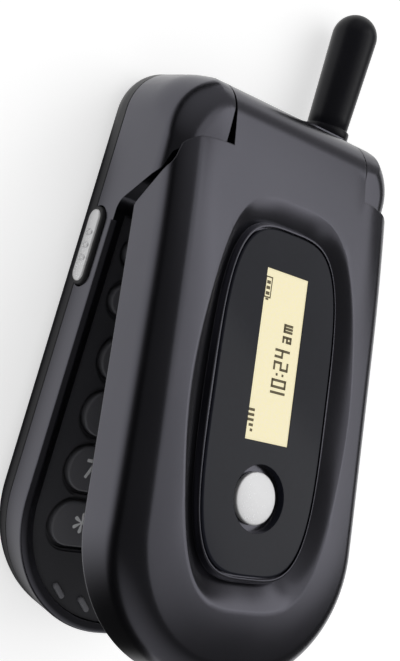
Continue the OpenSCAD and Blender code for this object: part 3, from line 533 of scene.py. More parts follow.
def loft(rings: Sequence[Ring], strips: bool = True) -> Solid:
    """Solid through closed rings of equal numbers of points.

    Args:
        rings: The rings, from the bottom up.
        strips: Close both ends with strips between mirrored points, not with a single face.

    Returns:
        The closed shape.
    """
    n, m = len(rings[0]), len(rings)
    points = [p for ring in rings for p in ring]
    faces: list[list[int]] = []
    for k in range(m - 1):
        faces += [[k * n + i, k * n + (i + 1) % n, (k + 1) * n + (i + 1) % n, (k + 1) * n + i]
                  for i in range(n)]
    for start, flip in ((0, True), ((m - 1) * n, False)):
        if strips:
            caps = [[i, i + 1, n - 2 - i, n - 1 - i] for i in range(n // 2 - 1)]
        else:
            caps = [list(range(n))]
        faces += [[start + i for i in (reversed(c) if flip else c)] for c in caps]
    return Solid(points, faces)


def lathe(profile: Sequence[Point], steps: int = 96) -> Solid:
    """Profile turned about the Z axis.

    Args:
        profile: Points in radius and height, from the axis at the bottom to the axis at the top.
        steps: Sides of the circle.

    Returns:
        The closed shape.
    """
    rings = [[(max(r, 1e-4) * math.cos(t), max(r, 1e-4) * math.sin(t), z)
              for t in (2 * math.pi * i / steps for i in range(steps))] for r, z in profile]
    return loft(rings, strips=False)


def ring_lathe(profile: Sequence[Point], steps: int = 96) -> Solid:
    """Closed profile turned about the Z axis, for a shape with a hole through it.

    Args:
        profile: Closed outline in radius and height.
        steps: Sides of the circle.

    Returns:
        The closed shape.
    """
    n = len(profile)
    points = [(r * math.cos(t), r * math.sin(t), z)
              for t in (2 * math.pi * i / steps for i in range(steps)) for r, z in profile]
    faces = [[k * n + i, k * n + (i + 1) % n, ((k + 1) % steps) * n + (i + 1) % n,
              ((k + 1) % steps) * n + i] for k in range(steps) for i in range(n)]
    return Solid(points, faces)


def soft_bar(width: float, height: float, low: float, high: float, edge: float,
             crown: float = 0.0, steps: int = 14) -> Solid:
    """Bar with round ends, a rounded upper edge and a slight crown.

    Args:
        width: Length along X.
        height: Width along Y.
        low: Lower face.
        high: Upper face at its rim.
        edge: Radius of the rounded edge.
        crown: How far the middle stands above the rim, or below it if negative.
        steps: Steps round each end.

    Returns:
        The closed shape.
    """
    levels = [(0.0, low), (0.0, high - edge)]
    levels += [(edge * (1 - math.cos(a)), high - edge * (1 - math.sin(a)))
               for a in (math.radians(15 * i) for i in range(1, 7))]
    room = height / 2 - edge - 0.05
    levels += [(edge + room * t, high + crown * (1 - (1 - t) ** 2)) for t in (0.3, 0.6, 0.85, 1.0)]
    rings = [[(x, y, z) for x, y in stadium(width - 2 * inset, height - 2 * inset, steps)]
             for inset, z in levels]
    return loft(rings, strips=False)


# ---------------------------------------------------------------- shader maths


class Signal:
    """A shader socket that ordinary arithmetic can be written with."""

    def __init__(self, tree: bpy.types.NodeTree, socket: bpy.types.NodeSocket) -> None:
        """Wraps an output socket of a tree."""
        self.tree = tree
        self.socket = socket

    def _math(self, operation: str, first: Union["Signal", Number],
              second: Union["Signal", Number]) -> "Signal":
        """Adds one Math node.

        Args:
            operation: Name of the operation.
            first: First value.
            second: Second value.

        Returns:
            The node's result.
        """
        node = self.tree.nodes.new("ShaderNodeMath")
        node.operation = operation
        for slot, value in zip(node.inputs, (first, second)):
            if isinstance(value, Signal):
                self.tree.links.new(value.socket, slot)
            else:
                slot.default_value = value
        return Signal(self.tree, node.outputs[0])

    def __add__(self, other: Union["Signal", Number]) -> "Signal":
        """Sum."""
        return self._math("ADD", self, other)

    def __mul__(self, other: Union["Signal", Number]) -> "Signal":
        """Product."""
        return self._math("MULTIPLY", self, other)

    def __sub__(self, other: Union["Signal", Number]) -> "Signal":
        """Difference."""
        return self._math("SUBTRACT", self, other)

    def __rsub__(self, other: Number) -> "Signal":
        """Difference from a number."""
        return self._math("SUBTRACT", other, self)

    def __pow__(self, other: Number) -> "Signal":
        """Power."""
        return self._math("POWER", self, other)

    def __abs__(self) -> "Signal":
        """Size without the sign."""
        return self._math("ABSOLUTE", self, 0)

    def at_least(self, floor: Number) -> "Signal":
        """The greater of the value and a limit."""
        return self._math("MAXIMUM", self, floor)


class Dresser:
    """Builds one material's node tree."""

    def __init__(self, name: str) -> None:
        """Makes an empty material with a Principled shader.

        Args:
            name: Name of the material.
        """
        self.material = bpy.data.materials.new(name)
        self.material.use_nodes = True
        self.tree = self.material.node_tree
        self.tree.nodes.clear()
        self.output = self.tree.nodes.new("ShaderNodeOutputMaterial")
        self.shader = self.tree.nodes.new("ShaderNodeBsdfPrincipled")
        self.tree.links.new(self.shader.outputs[0], self.output.inputs[0])
        self.place = self.node("ShaderNodeTexCoord").outputs["Object"]

    def node(self, kind: str, settings: dict | None = None,
             sockets: dict | None = None) -> bpy.types.Node:
        """Adds a node.

        Args:
            kind: Type of the node.
            settings: Its properties, set first.
            sockets: Values or links of its input sockets, by name or index.

        Returns:
            The node.
        """
        made = self.tree.nodes.new(kind)
        for key, value in (settings or {}).items():
            setattr(made, key, value)
        for key, value in (sockets or {}).items():
            self.feed(made.inputs[key], value)
        return made

    def feed(self, slot: bpy.types.NodeSocket, value: object) -> None:
        """Sets an input socket to a value or links it."""
        if isinstance(value, Signal):
            self.tree.links.new(value.socket, slot)
        elif isinstance(value, bpy.types.NodeSocket):
            self.tree.links.new(value, slot)
        else:
            slot.default_value = value

    def noise(self, scale: float, detail: float = 2.0, stretch: Colour = (1, 1, 1)) -> Signal:
        """Noise over the piece.

        Args:
            scale: Waves per metre.
            detail: Octaves.
            stretch: Scale along each axis.

        Returns:
            Values from about 0.2 to 0.8.
        """
        mapping = self.node("ShaderNodeMapping", sockets={"Vector": self.place, "Scale": stretch})
        made = self.node("ShaderNodeTexNoise", sockets={
            "Vector": mapping.outputs[0], "Scale": scale, "Detail": detail, "Roughness": 0.55})
        return Signal(self.tree, made.outputs["Fac"])

    def blend(self, amount: Union[Signal, float], first: Colour, second: Colour) -> object:
        """Mix of two colours."""
        made = self.node("ShaderNodeMix", {"data_type": "RGBA"})
        self.feed(made.inputs["Factor"], amount)
        made.inputs[6].default_value = (*first, 1)
        made.inputs[7].default_value = (*second, 1)
        return made.outputs[2]

    def spread(self, value: Signal, low: float, high: float) -> Signal:
        """Values from about 0.3 to 0.7, spread between two limits."""
        made = self.node("ShaderNodeMapRange", sockets={
            "Value": value, "From Min": 0.3, "From Max": 0.7, "To Min": low, "To Max": high})
        return Signal(self.tree, made.outputs[0])


@dataclass(frozen=True)
class Finish:
    """A surface finish with variation, grain and soft edges."""

    slot: str
    tone: Colour
    second_tone: Colour
    rough: tuple[float, float]
    metallic: float = 0.0
    specular: float = 0.5
    patch: float = 60.0
    grain: float = 2500.0
    grain_depth: float = 0.02
    stretch: Colour = (1.0, 1.0, 1.0)
    edge: float = 0.12
    alpha: float = 1.0
    glow: float = 0.0
    glow_tone: Colour = (1.0, 1.0, 1.0)
    name: str = ""

    def build(self) -> bpy.types.Material:
        """Makes the material.

        Returns:
            The material, which is made once for each finish.
        """
        title = f"{self.name or self.slot}_finish"
        if title in bpy.data.materials:
            return bpy.data.materials[title]
        kit = Dresser(title)
        shader = kit.shader
        patches = kit.noise(self.patch, 3.0, self.stretch)
        grain = kit.noise(self.grain, 2.0, self.stretch)
        tone = kit.blend(kit.spread(patches * 0.7 + grain * 0.3, 0, 1), self.tone, self.second_tone)
        kit.feed(shader.inputs["Base Color"], tone)
        kit.feed(shader.inputs["Roughness"], kit.spread(patches * 0.5 + grain * 0.5, *self.rough))
        settings = {"Metallic": self.metallic, "Specular IOR Level": self.specular,
                    "Alpha": self.alpha, "Emission Strength": self.glow}
        for key, value in settings.items():
            shader.inputs[key].default_value = value
        if self.glow:
            kit.feed(shader.inputs["Emission Color"],
                     kit.blend(kit.spread(patches, 0, 1), self.glow_tone, self.second_tone))
        self._relief(kit, grain)
        return kit.material

    def _relief(self, kit: Dresser, grain: Signal) -> None:
        """Adds grain and soft edges to the normal.

        Args:
            kit: The material's tree.
            grain: The grain's height.
        """
        sockets: dict = {"Height": grain, "Strength": self.grain_depth * 5, "Distance": 0.02 * MM}
        if self.edge:
            soft = kit.node("ShaderNodeBevel", {"samples": 4}, {"Radius": self.edge * MM})
            sockets["Normal"] = soft.outputs[0]
        bump = kit.node("ShaderNodeBump", sockets=sockets)
        kit.feed(kit.shader.inputs["Normal"], bump.outputs[0])


LACQUER = Finish("housing_black", (0.092, 0.091, 0.106), (0.104, 0.103, 0.119), (0.22, 0.27),
                 metallic=1.0, grain=3000, grain_depth=0.008)
TUB = Finish("housing_black", (0.016, 0.016, 0.019), (0.024, 0.024, 0.028), (0.34, 0.44),
             specular=0.4, grain=3600, grain_depth=0.03, name="back_housing_black")
PLATE = Finish("plate_grey", (0.046, 0.046, 0.053), (0.060, 0.060, 0.068), (0.40, 0.50),
               grain=4200, grain_depth=0.04)
KEY_CAP = Finish("key_grey", (0.115, 0.115, 0.128), (0.140, 0.140, 0.154), (0.34, 0.44),
                 grain=3500, grain_depth=0.02, edge=0.08)
PAD = Finish("pad_grey", (0.17, 0.17, 0.19), (0.24, 0.24, 0.26), (0.5, 0.62), grain_depth=0.04)
LEGEND = Finish("silver_paint", (0.82, 0.82, 0.84), (0.92, 0.92, 0.94), (0.4, 0.5), edge=0,
                name="legend_paint")
SILVER = Finish("silver_paint", (0.80, 0.80, 0.81), (0.90, 0.90, 0.91), (0.20, 0.30),
                metallic=0.3, grain=4000, grain_depth=0.02)
RUBBER = Finish("soft_rubber", (0.014, 0.014, 0.016), (0.026, 0.026, 0.028), (0.5, 0.64),
                grain=3000, grain_depth=0.06)
ANTENNA_SKIN = Finish("antenna_rubber", (0.006, 0.006, 0.009), (0.012, 0.012, 0.016), (0.3, 0.38),
                      grain=2600, grain_depth=0.006, specular=0.22)
LENS = Finish("smoked_lens", (0.012, 0.013, 0.019), (0.017, 0.018, 0.026), (0.07, 0.11),
              specular=0.16, grain=1500, grain_depth=0.002, edge=0.1)
CLEAR = Finish("clear_window", (0.02, 0.02, 0.024), (0.03, 0.03, 0.034), (0.04, 0.07),
               alpha=0.28, grain_depth=0.002, edge=0.08)
LCD_CREAM = Finish("outer_lcd", (0.80, 0.72, 0.46), (0.86, 0.79, 0.54), (0.25, 0.32), patch=45,
                   glow=0.42, glow_tone=(0.95, 0.86, 0.55), edge=0, grain_depth=0.004)
LCD_INK = Finish("outer_lcd", (0.14, 0.11, 0.045), (0.19, 0.15, 0.06), (0.4, 0.5), edge=0,
                 name="display_ink")
INNER_LCD = Finish("inner_lcd", (0.030, 0.036, 0.036), (0.045, 0.052, 0.050), (0.18, 0.26),
                   patch=40, edge=0)
STEEL = Finish("hinge_steel", (0.48, 0.48, 0.50), (0.60, 0.60, 0.62), (0.22, 0.36), metallic=1.0,
               stretch=(1, 6, 1), grain=2200)
GOLD = Finish("contact_gold", (0.85, 0.60, 0.22), (0.93, 0.70, 0.32), (0.2, 0.32), metallic=1.0)
BRASS = Finish("insert_brass", (0.72, 0.52, 0.20), (0.80, 0.60, 0.28), (0.25, 0.4), metallic=1.0)
BOARD = Finish("board_green", (0.012, 0.085, 0.045), (0.02, 0.12, 0.06), (0.35, 0.5), patch=400)
TIN = Finish("tin_shield", (0.52, 0.53, 0.54), (0.64, 0.65, 0.66), (0.3, 0.42), metallic=0.9)
DOME_FILM = Finish("dome_film", (0.60, 0.58, 0.52), (0.72, 0.70, 0.64), (0.3, 0.5), metallic=0.3)
SOCKET = Finish("socket_black", (0.016, 0.016, 0.017), (0.028, 0.028, 0.030), (0.45, 0.6))
WRAP = Finish("battery_wrap", (0.10, 0.11, 0.13), (0.14, 0.15, 0.17), (0.4, 0.55),
              stretch=(1, 0.3, 1), grain=1800)
AMBER = Finish("flex_amber", (0.42, 0.20, 0.03), (0.55, 0.28, 0.05), (0.3, 0.45))
GREEN_INK = Finish("silver_paint", (0.05, 0.42, 0.14), (0.07, 0.50, 0.18), (0.4, 0.5), edge=0,
                   name="green_ink")
RED_INK = Finish("silver_paint", (0.55, 0.04, 0.035), (0.65, 0.06, 0.05), (0.4, 0.5), edge=0,
                 name="red_ink")


# ---------------------------------------------------------------- placing


def lid_turn() -> Matrix:
    """Turn from the closed phone to the stored opening angle."""
    y, z = SIZES.hinge
    axis = Matrix.Translation((0, y, z))
    return axis @ Matrix.Rotation(math.radians(-SIZES.lid_open), 4, "X") @ axis.inverted()


def place(solid: Solid, name: str, body: str, finish: Finish, replaces: Sequence[str] = (),
          sharp: float = 30.0, on_lid: bool = False) -> bpy.types.Object:
    """Turns a finished shape into a piece of the phone.

    Args:
        solid: The shape, in millimetres.
        name: Name of the piece.
        body: Body that it rides on.
        finish: Its finish.
        replaces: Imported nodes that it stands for.
        sharp: Angle above which an edge is drawn sharp.
        on_lid: The shape was drawn on the closed phone and turns with the lid.

    Returns:
        The piece.
    """
    if on_lid:
        solid.turned(lid_turn())
    piece = solid.obj
    piece.name = name
    piece.data.transform(Matrix.Scale(MM, 4))
    piece.data.name = name
    piece.data.shade_smooth()
    piece.data.set_sharp_from_angle(angle=math.radians(sharp))
    weighted = piece.modifiers.new("weighted", "WEIGHTED_NORMAL")
    weighted.keep_sharp = True
    weighted.weight = 60
    mesh = evaluated_mesh(piece)
    piece.modifiers.clear()
    old, piece.data = piece.data, mesh
    bpy.data.meshes.remove(old)
    piece.data.name = name
    piece.data.materials.clear()
    piece.data.materials.append(finish.build())
    return settle(piece, body, replaces)


def settle(piece: bpy.types.Object, body: str,
           replaces: Sequence[str] = ()) -> bpy.types.Object:
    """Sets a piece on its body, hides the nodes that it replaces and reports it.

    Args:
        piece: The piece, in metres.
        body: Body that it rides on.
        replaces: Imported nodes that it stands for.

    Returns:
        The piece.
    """
    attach(piece, body)
    if replaces:
        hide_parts(*replaces)
    log.info("%-24s on %-16s %7d faces", piece.name, body, len(piece.data.polygons))
    return piece


# ---------------------------------------------------------------- repeats


def node_group(name: str, inputs: dict[str, str]) -> bpy.types.NodeTree:
    """Empty Geometry Nodes tree with its sockets.

    Args:
        name: Name of the tree.
        inputs: Kind of each input socket, by name.

    Returns:
        The tree.
    """
    tree = bpy.data.node_groups.new(name, "GeometryNodeTree")
    for title, kind in inputs.items():
        tree.interface.new_socket(title, in_out="INPUT", socket_type=f"NodeSocket{kind}")
    tree.interface.new_socket("Result", in_out="OUTPUT", socket_type="NodeSocketGeometry")
    return tree


def run_group(tree: bpy.types.NodeTree, carrier: Solid, values: dict[str, object]) -> Solid:
    """Replaces a carrier's mesh by what a tree makes of it.

    Args:
        tree: The tree.
        carrier: Shape that the tree works on.
        values: Values of its input sockets, by name.

    Returns:
        The carrier.
    """
    mod = carrier.obj.modifiers.new("group", "NODES")
    mod.node_group = tree
    ids = {s.name: s.identifier for s in tree.interface.items_tree if s.in_out == "INPUT"}
    for title, value in values.items():
        mod[ids[title]] = value
    mesh = evaluated_mesh(carrier.obj)
    carrier.obj.modifiers.clear()
    carrier.obj.data = mesh
    return carrier


class Repeater:
    """Geometry Nodes that set a template on every point of a carrier."""

    def __init__(self) -> None:
        """Builds the tree once."""
        tree = node_group("repeat_on_points", {"Places": "Geometry", "Template": "Object"})
        new, link = tree.nodes.new, tree.links.new
        enter, leave = new("NodeGroupInput"), new("NodeGroupOutput")
        template = new("GeometryNodeObjectInfo")
        points = new("GeometryNodeInstanceOnPoints")
        real = new("GeometryNodeRealizeInstances")
        link(enter.outputs["Template"], template.inputs["Object"])
        link(enter.outputs["Places"], points.inputs["Points"])
        link(template.outputs["Geometry"], points.inputs["Instance"])
        link(points.outputs[0], real.inputs[0])
        link(real.outputs[0], leave.inputs[0])
        self.tree = tree

    def repeat(self, template: Solid, places: Sequence[Sequence[float]]) -> Solid:
        """Sets the template on each place.

        Args:
            template: Shape about the origin, which is used up.
            places: Where the copies go, in millimetres.

        Returns:
            All copies as one shape.
        """
        carrier = Solid([], [])
        carrier.obj.data.from_pydata([tuple(p) for p in places], [], [])
        run_group(self.tree, carrier, {"Template": template.obj})
        template.drop()
        return carrier


class LegendMaker:
    """Geometry Nodes that turn a short text into thin printed strokes."""

    bold: float = 0.07

    def __init__(self) -> None:
        """Builds the tree once."""
        tree = node_group("printed_legend", {"Text": "String", "Height": "Float", "Depth": "Float"})
        new, link = tree.nodes.new, tree.links.new
        enter, leave = new("NodeGroupInput"), new("NodeGroupOutput")
        strokes = new("GeometryNodeStringToCurves")
        strokes.align_x, strokes.align_y = "CENTER", "MIDDLE"
        fill = new("GeometryNodeFillCurve")
        fill.mode = "TRIANGLES"
        real = new("GeometryNodeRealizeInstances")
        raise_up = new("GeometryNodeExtrudeMesh")
        raise_up.inputs["Individual"].default_value = False
        flip = new("GeometryNodeFlipFaces")
        join = new("GeometryNodeJoinGeometry")
        weld = new("GeometryNodeMergeByDistance")
        weld.inputs["Distance"].default_value = 1e-5
        link(enter.outputs["Text"], strokes.inputs["String"])
        link(enter.outputs["Height"], strokes.inputs["Size"])
        link(strokes.outputs[0], real.inputs[0])
        link(real.outputs[0], fill.inputs[0])
        link(fill.outputs[0], raise_up.inputs["Mesh"])
        link(fill.outputs[0], flip.inputs["Mesh"])
        link(enter.outputs["Depth"], raise_up.inputs["Offset Scale"])
        link(raise_up.outputs["Mesh"], join.inputs[0])
        link(flip.outputs[0], join.inputs[0])
        link(join.outputs[0], weld.inputs[0])
        link(weld.outputs[0], leave.inputs[0])
        self.tree = tree

    def write(self, text: str, height: float, depth: float) -> Solid:
        """Makes a text's strokes, centred on the origin and laid five times, slightly shifted.

        Args:
            text: The characters.
            height: Size of the type.
            depth: Thickness of the print.

        Returns:
            The strokes.
        """
        carrier = run_group(self.tree, Solid([], []),
                            {"Text": text, "Height": height, "Depth": depth})
        mesh = carrier.obj.data
        bm = bmesh.new()
        for i, (dx, dy) in enumerate(((0, 0), (1, 0), (-1, 0), (0, 1), (0, -1))):
            before = len(bm.verts)
            bm.from_mesh(mesh)
            bm.verts.ensure_lookup_table()
            bmesh.ops.translate(bm, verts=bm.verts[before:],
                                vec=(dx * self.bold, dy * self.bold, -i * self.bold / 40))
        bmesh.ops.recalc_face_normals(bm, faces=bm.faces)
        bm.to_mesh(mesh)
        bm.free()
        return carrier


# ---------------------------------------------------------------- shells


@dataclass
class ShellForms:
    """Lofts that the housings are cut from."""

    sizes: PhoneSizes = SIZES
    groove: float = 0.12
    knuckle_soften: float = 5.0
    soften_from: float = 0.5
    side_from: float = 1.0
    crown_run: float = 7.2
    side_steps: int = 8
    shoulder_steps: int = 24
    shoulder_turn: float = 86.0
    crown_steps: int = 8

    def rings(self, levels: Sequence[tuple[float, float, float]], bottom: float) -> list[Ring]:
        """Rings of the body's outline.

        Args:
            levels: Height, inset and share of the crown's fall of each ring.
            bottom: Y of the bottom end.

        Returns:
            The rings.
        """
        s, start = self.sizes, self.soften_from
        rings = []
        for z, inset, share in levels:
            lift = min(max((z - s.rim - start) / (s.closed - s.rim - start), 0), 1)
            soften = self.knuckle_soften * lift * lift * (3 - 2 * lift)
            rings.append([(x, y, z - share * s.fall(y))
                          for x, y in s.outline(bottom, inset, soften=soften)])
        return rings

    def tub(self) -> Solid:
        """Back tub with quarter-round back edges and a fine chamfer at the parting line."""
        s = self.sizes
        levels = [(s.back_edge * (1 - math.sin(a)), s.back_edge * (1 - math.cos(a)), 0.0)
                  for a in (math.radians(5 * i) for i in range(18, -1, -1))]
        levels += [(s.tub_height - self.groove, 0, 0), (s.tub_height, self.groove, 0)]
        return loft(self.rings(levels, -s.end))

    def frame(self) -> Solid:
        """Front frame up to its rounded rim."""
        s = self.sizes
        levels = [(s.tub_height, self.groove, 0.0), (s.tub_height + self.groove, 0, 0)]
        levels += [(s.rim - s.rim_edge * (1 - math.sin(a)), s.rim_edge * (1 - math.cos(a)), 0.0)
                   for a in (math.radians(10 * i) for i in range(10))]
        return loft(self.rings(levels, -s.end))

    def shoulder(self) -> list[tuple[float, float, float]]:
        """Levels of the rounded shoulders, up to where the crown starts."""
        s = self.sizes
        top = s.closed - s.crown_rise
        return [(top - s.shoulder_height * (1 - math.sin(a)), s.shoulder_width * (1 - math.cos(a)),
                 math.sin(a)) for a in (math.radians(self.shoulder_turn * i / self.shoulder_steps)
                                        for i in range(self.shoulder_steps + 1))]

    def side(self) -> list[tuple[float, float, float]]:
        """Levels of the upright sides between the rim and the shoulders."""
        s = self.sizes
        top = self.shoulder()[0][0]
        low, steps = self.side_from, self.side_steps
        return [(s.rim + low + (top - s.rim - low) * i / steps, 0.0, 0.0) for i in range(steps)]

    def crown(self, inset: float) -> float:
        """Height of the crown, before its fall, at a distance from the outline.

        Args:
            inset: Distance from the outline.

        Returns:
            The height.
        """
        s = self.sizes
        start = self.shoulder()[-1]
        rise = s.closed - start[0]
        share = min(max((inset - start[1]) / self.crown_run, 0), 1)
        return s.closed - rise * (1 - share) ** 2

    def upper(self, low: float, bottom: float) -> Solid:
        """Form that the lid and the knuckles share.

        Args:
            low: Height of its underside.
            bottom: Y of its bottom end.

        Returns:
            The closed shape with a plain crown.
        """
        levels = [(low, 0.0, 0.0), (self.sizes.rim, 0.0, 0.0)] + self.side() + self.shoulder()
        start = levels[-1][1]
        insets = [start + self.crown_run * i / self.crown_steps
                  for i in range(1, self.crown_steps + 1)]
        levels += [(self.crown(inset), inset, 1.0) for inset in insets]
        return loft(self.rings(levels, bottom))


@dataclass
class BackHousing:
    """Rear housing with its battery bay, battery cover and screws."""

    repeater: Repeater
    sizes: PhoneSizes = SIZES
    cover_thickness: float = 1.2
    cover_top: float = 14.0
    battery_width: float = 34.2
    battery_length: float = 46.4
    battery_top: float = 11.0
    bay_top: float = 5.15
    bay_gap: float = 0.5
    slide: float = 0.15
    tab_length: float = 5.0
    tab_places: Sequence[float] = (4, -16)
    speaker: Point = (9.5, 23.5)
    screw_radius: float = 0.8
    head_radius: float = 1.55
    head_depth: float = 2.2
    boss_radius: float = 2.3

    @property
    def cover_width(self) -> float:
        """Width of the cover."""
        return self.sizes.width - 2 * self.sizes.back_edge - 0.3

    def tabs(self, grow: float, travel: float) -> list[Solid]:
        """Sliding tabs of the cover, or the slots for them.

        Args:
            grow: Margin round each tab.
            travel: Extra length towards the bottom end.

        Returns:
            Four boxes.
        """
        x0 = self.battery_width / 2 + self.bay_gap + 0.3 - grow
        x1 = self.cover_width / 2 + 0.7 + grow
        low = self.cover_thickness - EPS
        reach = self.tab_length / 2 + grow
        made = []
        for y in self.tab_places:
            for a, b in ((x0, x1), (-x1, -x0)):
                made.append(box((a, y - reach - travel, low),
                                (b, y + reach, self.cover_thickness + 1 + grow)))
        return made

    def shell(self, forms: ShellForms, ends: "EndFittings") -> None:
        """Builds the rear housing.

        Args:
            forms: Lofts of the housings.
            ends: Sockets and antenna, whose rooms are cut out.
        """
        s = self.sizes
        w = self.cover_width / 2 + self.slide
        tub = forms.tub()
        tub.cut(box((-w, -s.end - 1, -1),
                    (w, self.cover_top + self.slide, self.cover_thickness + 0.05)))
        bx = self.battery_width / 2 + self.bay_gap
        tub.cut(box((-bx, self.battery_top - self.battery_length - self.bay_gap, -1),
                    (bx, self.battery_top + self.bay_gap, self.bay_top)))
        tub.cut(*self.tabs(self.slide, 6))
        tub.cut(self.cavity())
        tub.cut(ends.jack_room(), ends.port_room(), ends.antenna_boss(), ends.rocker_room())
        slots = self.repeater.repeat(prism(stadium(7.2, 0.8, 8), -EPS, s.wall + 0.1),
                                     [(*self._slot(i), 0) for i in range(-2, 3)])
        tub.cut(slots)
        for p in s.screw_places:
            tub.cut(cylinder(p, self.screw_radius, -EPS, 7, steps=32),
                    cylinder(p, self.head_radius, -EPS, self.head_depth, steps=48))
        place(tub, "rear_housing_shell", "base", TUB, ["rear_housing"])

    def _slot(self, index: int) -> Point:
        """Middle of one sound slot below the loudspeaker."""
        return self.speaker[0], self.speaker[1] + index * 1.9

    def cavity(self) -> Solid:
        """Upper cavity with its screw bosses left standing."""
        s = self.sizes
        room = prism(s.outline(-s.end, s.wall + 1.2, 18), s.wall, s.tub_height + 2)
        room.meet(box((-s.half, self.cover_top + 1.2, 0), (s.half, s.end - s.wall - 0.6, 9)))
        return room.cut(*[cylinder(p, self.boss_radius, 0, 9, steps=48) for p in s.screw_places[2:]])

    def cover(self, forms: ShellForms) -> None:
        """Builds the battery cover with its thumb grooves.

        Args:
            forms: Lofts of the housings.
        """
        s = self.sizes
        cover = forms.tub()
        w = self.cover_width / 2
        cover.meet(box((-w, -s.end - 1, -1), (w, self.cover_top, self.cover_thickness)))
        cover.join(*self.tabs(0, 0))
        for i in range(4):
            y = self.cover_top - 4 - i * 1.6
            cover.cut(prism(stadium(12 - i * 1.5, 0.7, 10, (0, y)), -EPS, 0.35))
        place(cover, "battery_cover_panel", "cover", TUB, ["battery_cover"])

    def fasteners(self) -> None:
        """Builds the four housing screws with six-lobed recesses."""
        lobes = [(0.62 * (1 + 0.16 * math.cos(6 * t)) * math.cos(t),
                  0.62 * (1 + 0.16 * math.cos(6 * t)) * math.sin(t))
                 for t in (math.radians(5 * i) for i in range(72))]
        head = lathe([(0, 1.0), (1.15, 1.0), (1.34, 1.06), (1.4, 1.2), (1.4, 2.13), (0.75, 2.15),
                      (0.75, 8.6), (0, 8.6)], 40)
        head.cut(prism(lobes, 0.5, 1.6))
        screws = self.repeater.repeat(head, [(x, y, 0) for x, y in self.sizes.screw_places])
        place(screws, "housing_screw_set", "base", STEEL, ["housing_screws"])

    def build(self, forms: ShellForms, ends: "EndFittings") -> None:
        """Builds all pieces of the back."""
        self.shell(forms, ends)
        self.cover(forms)
        self.fasteners()


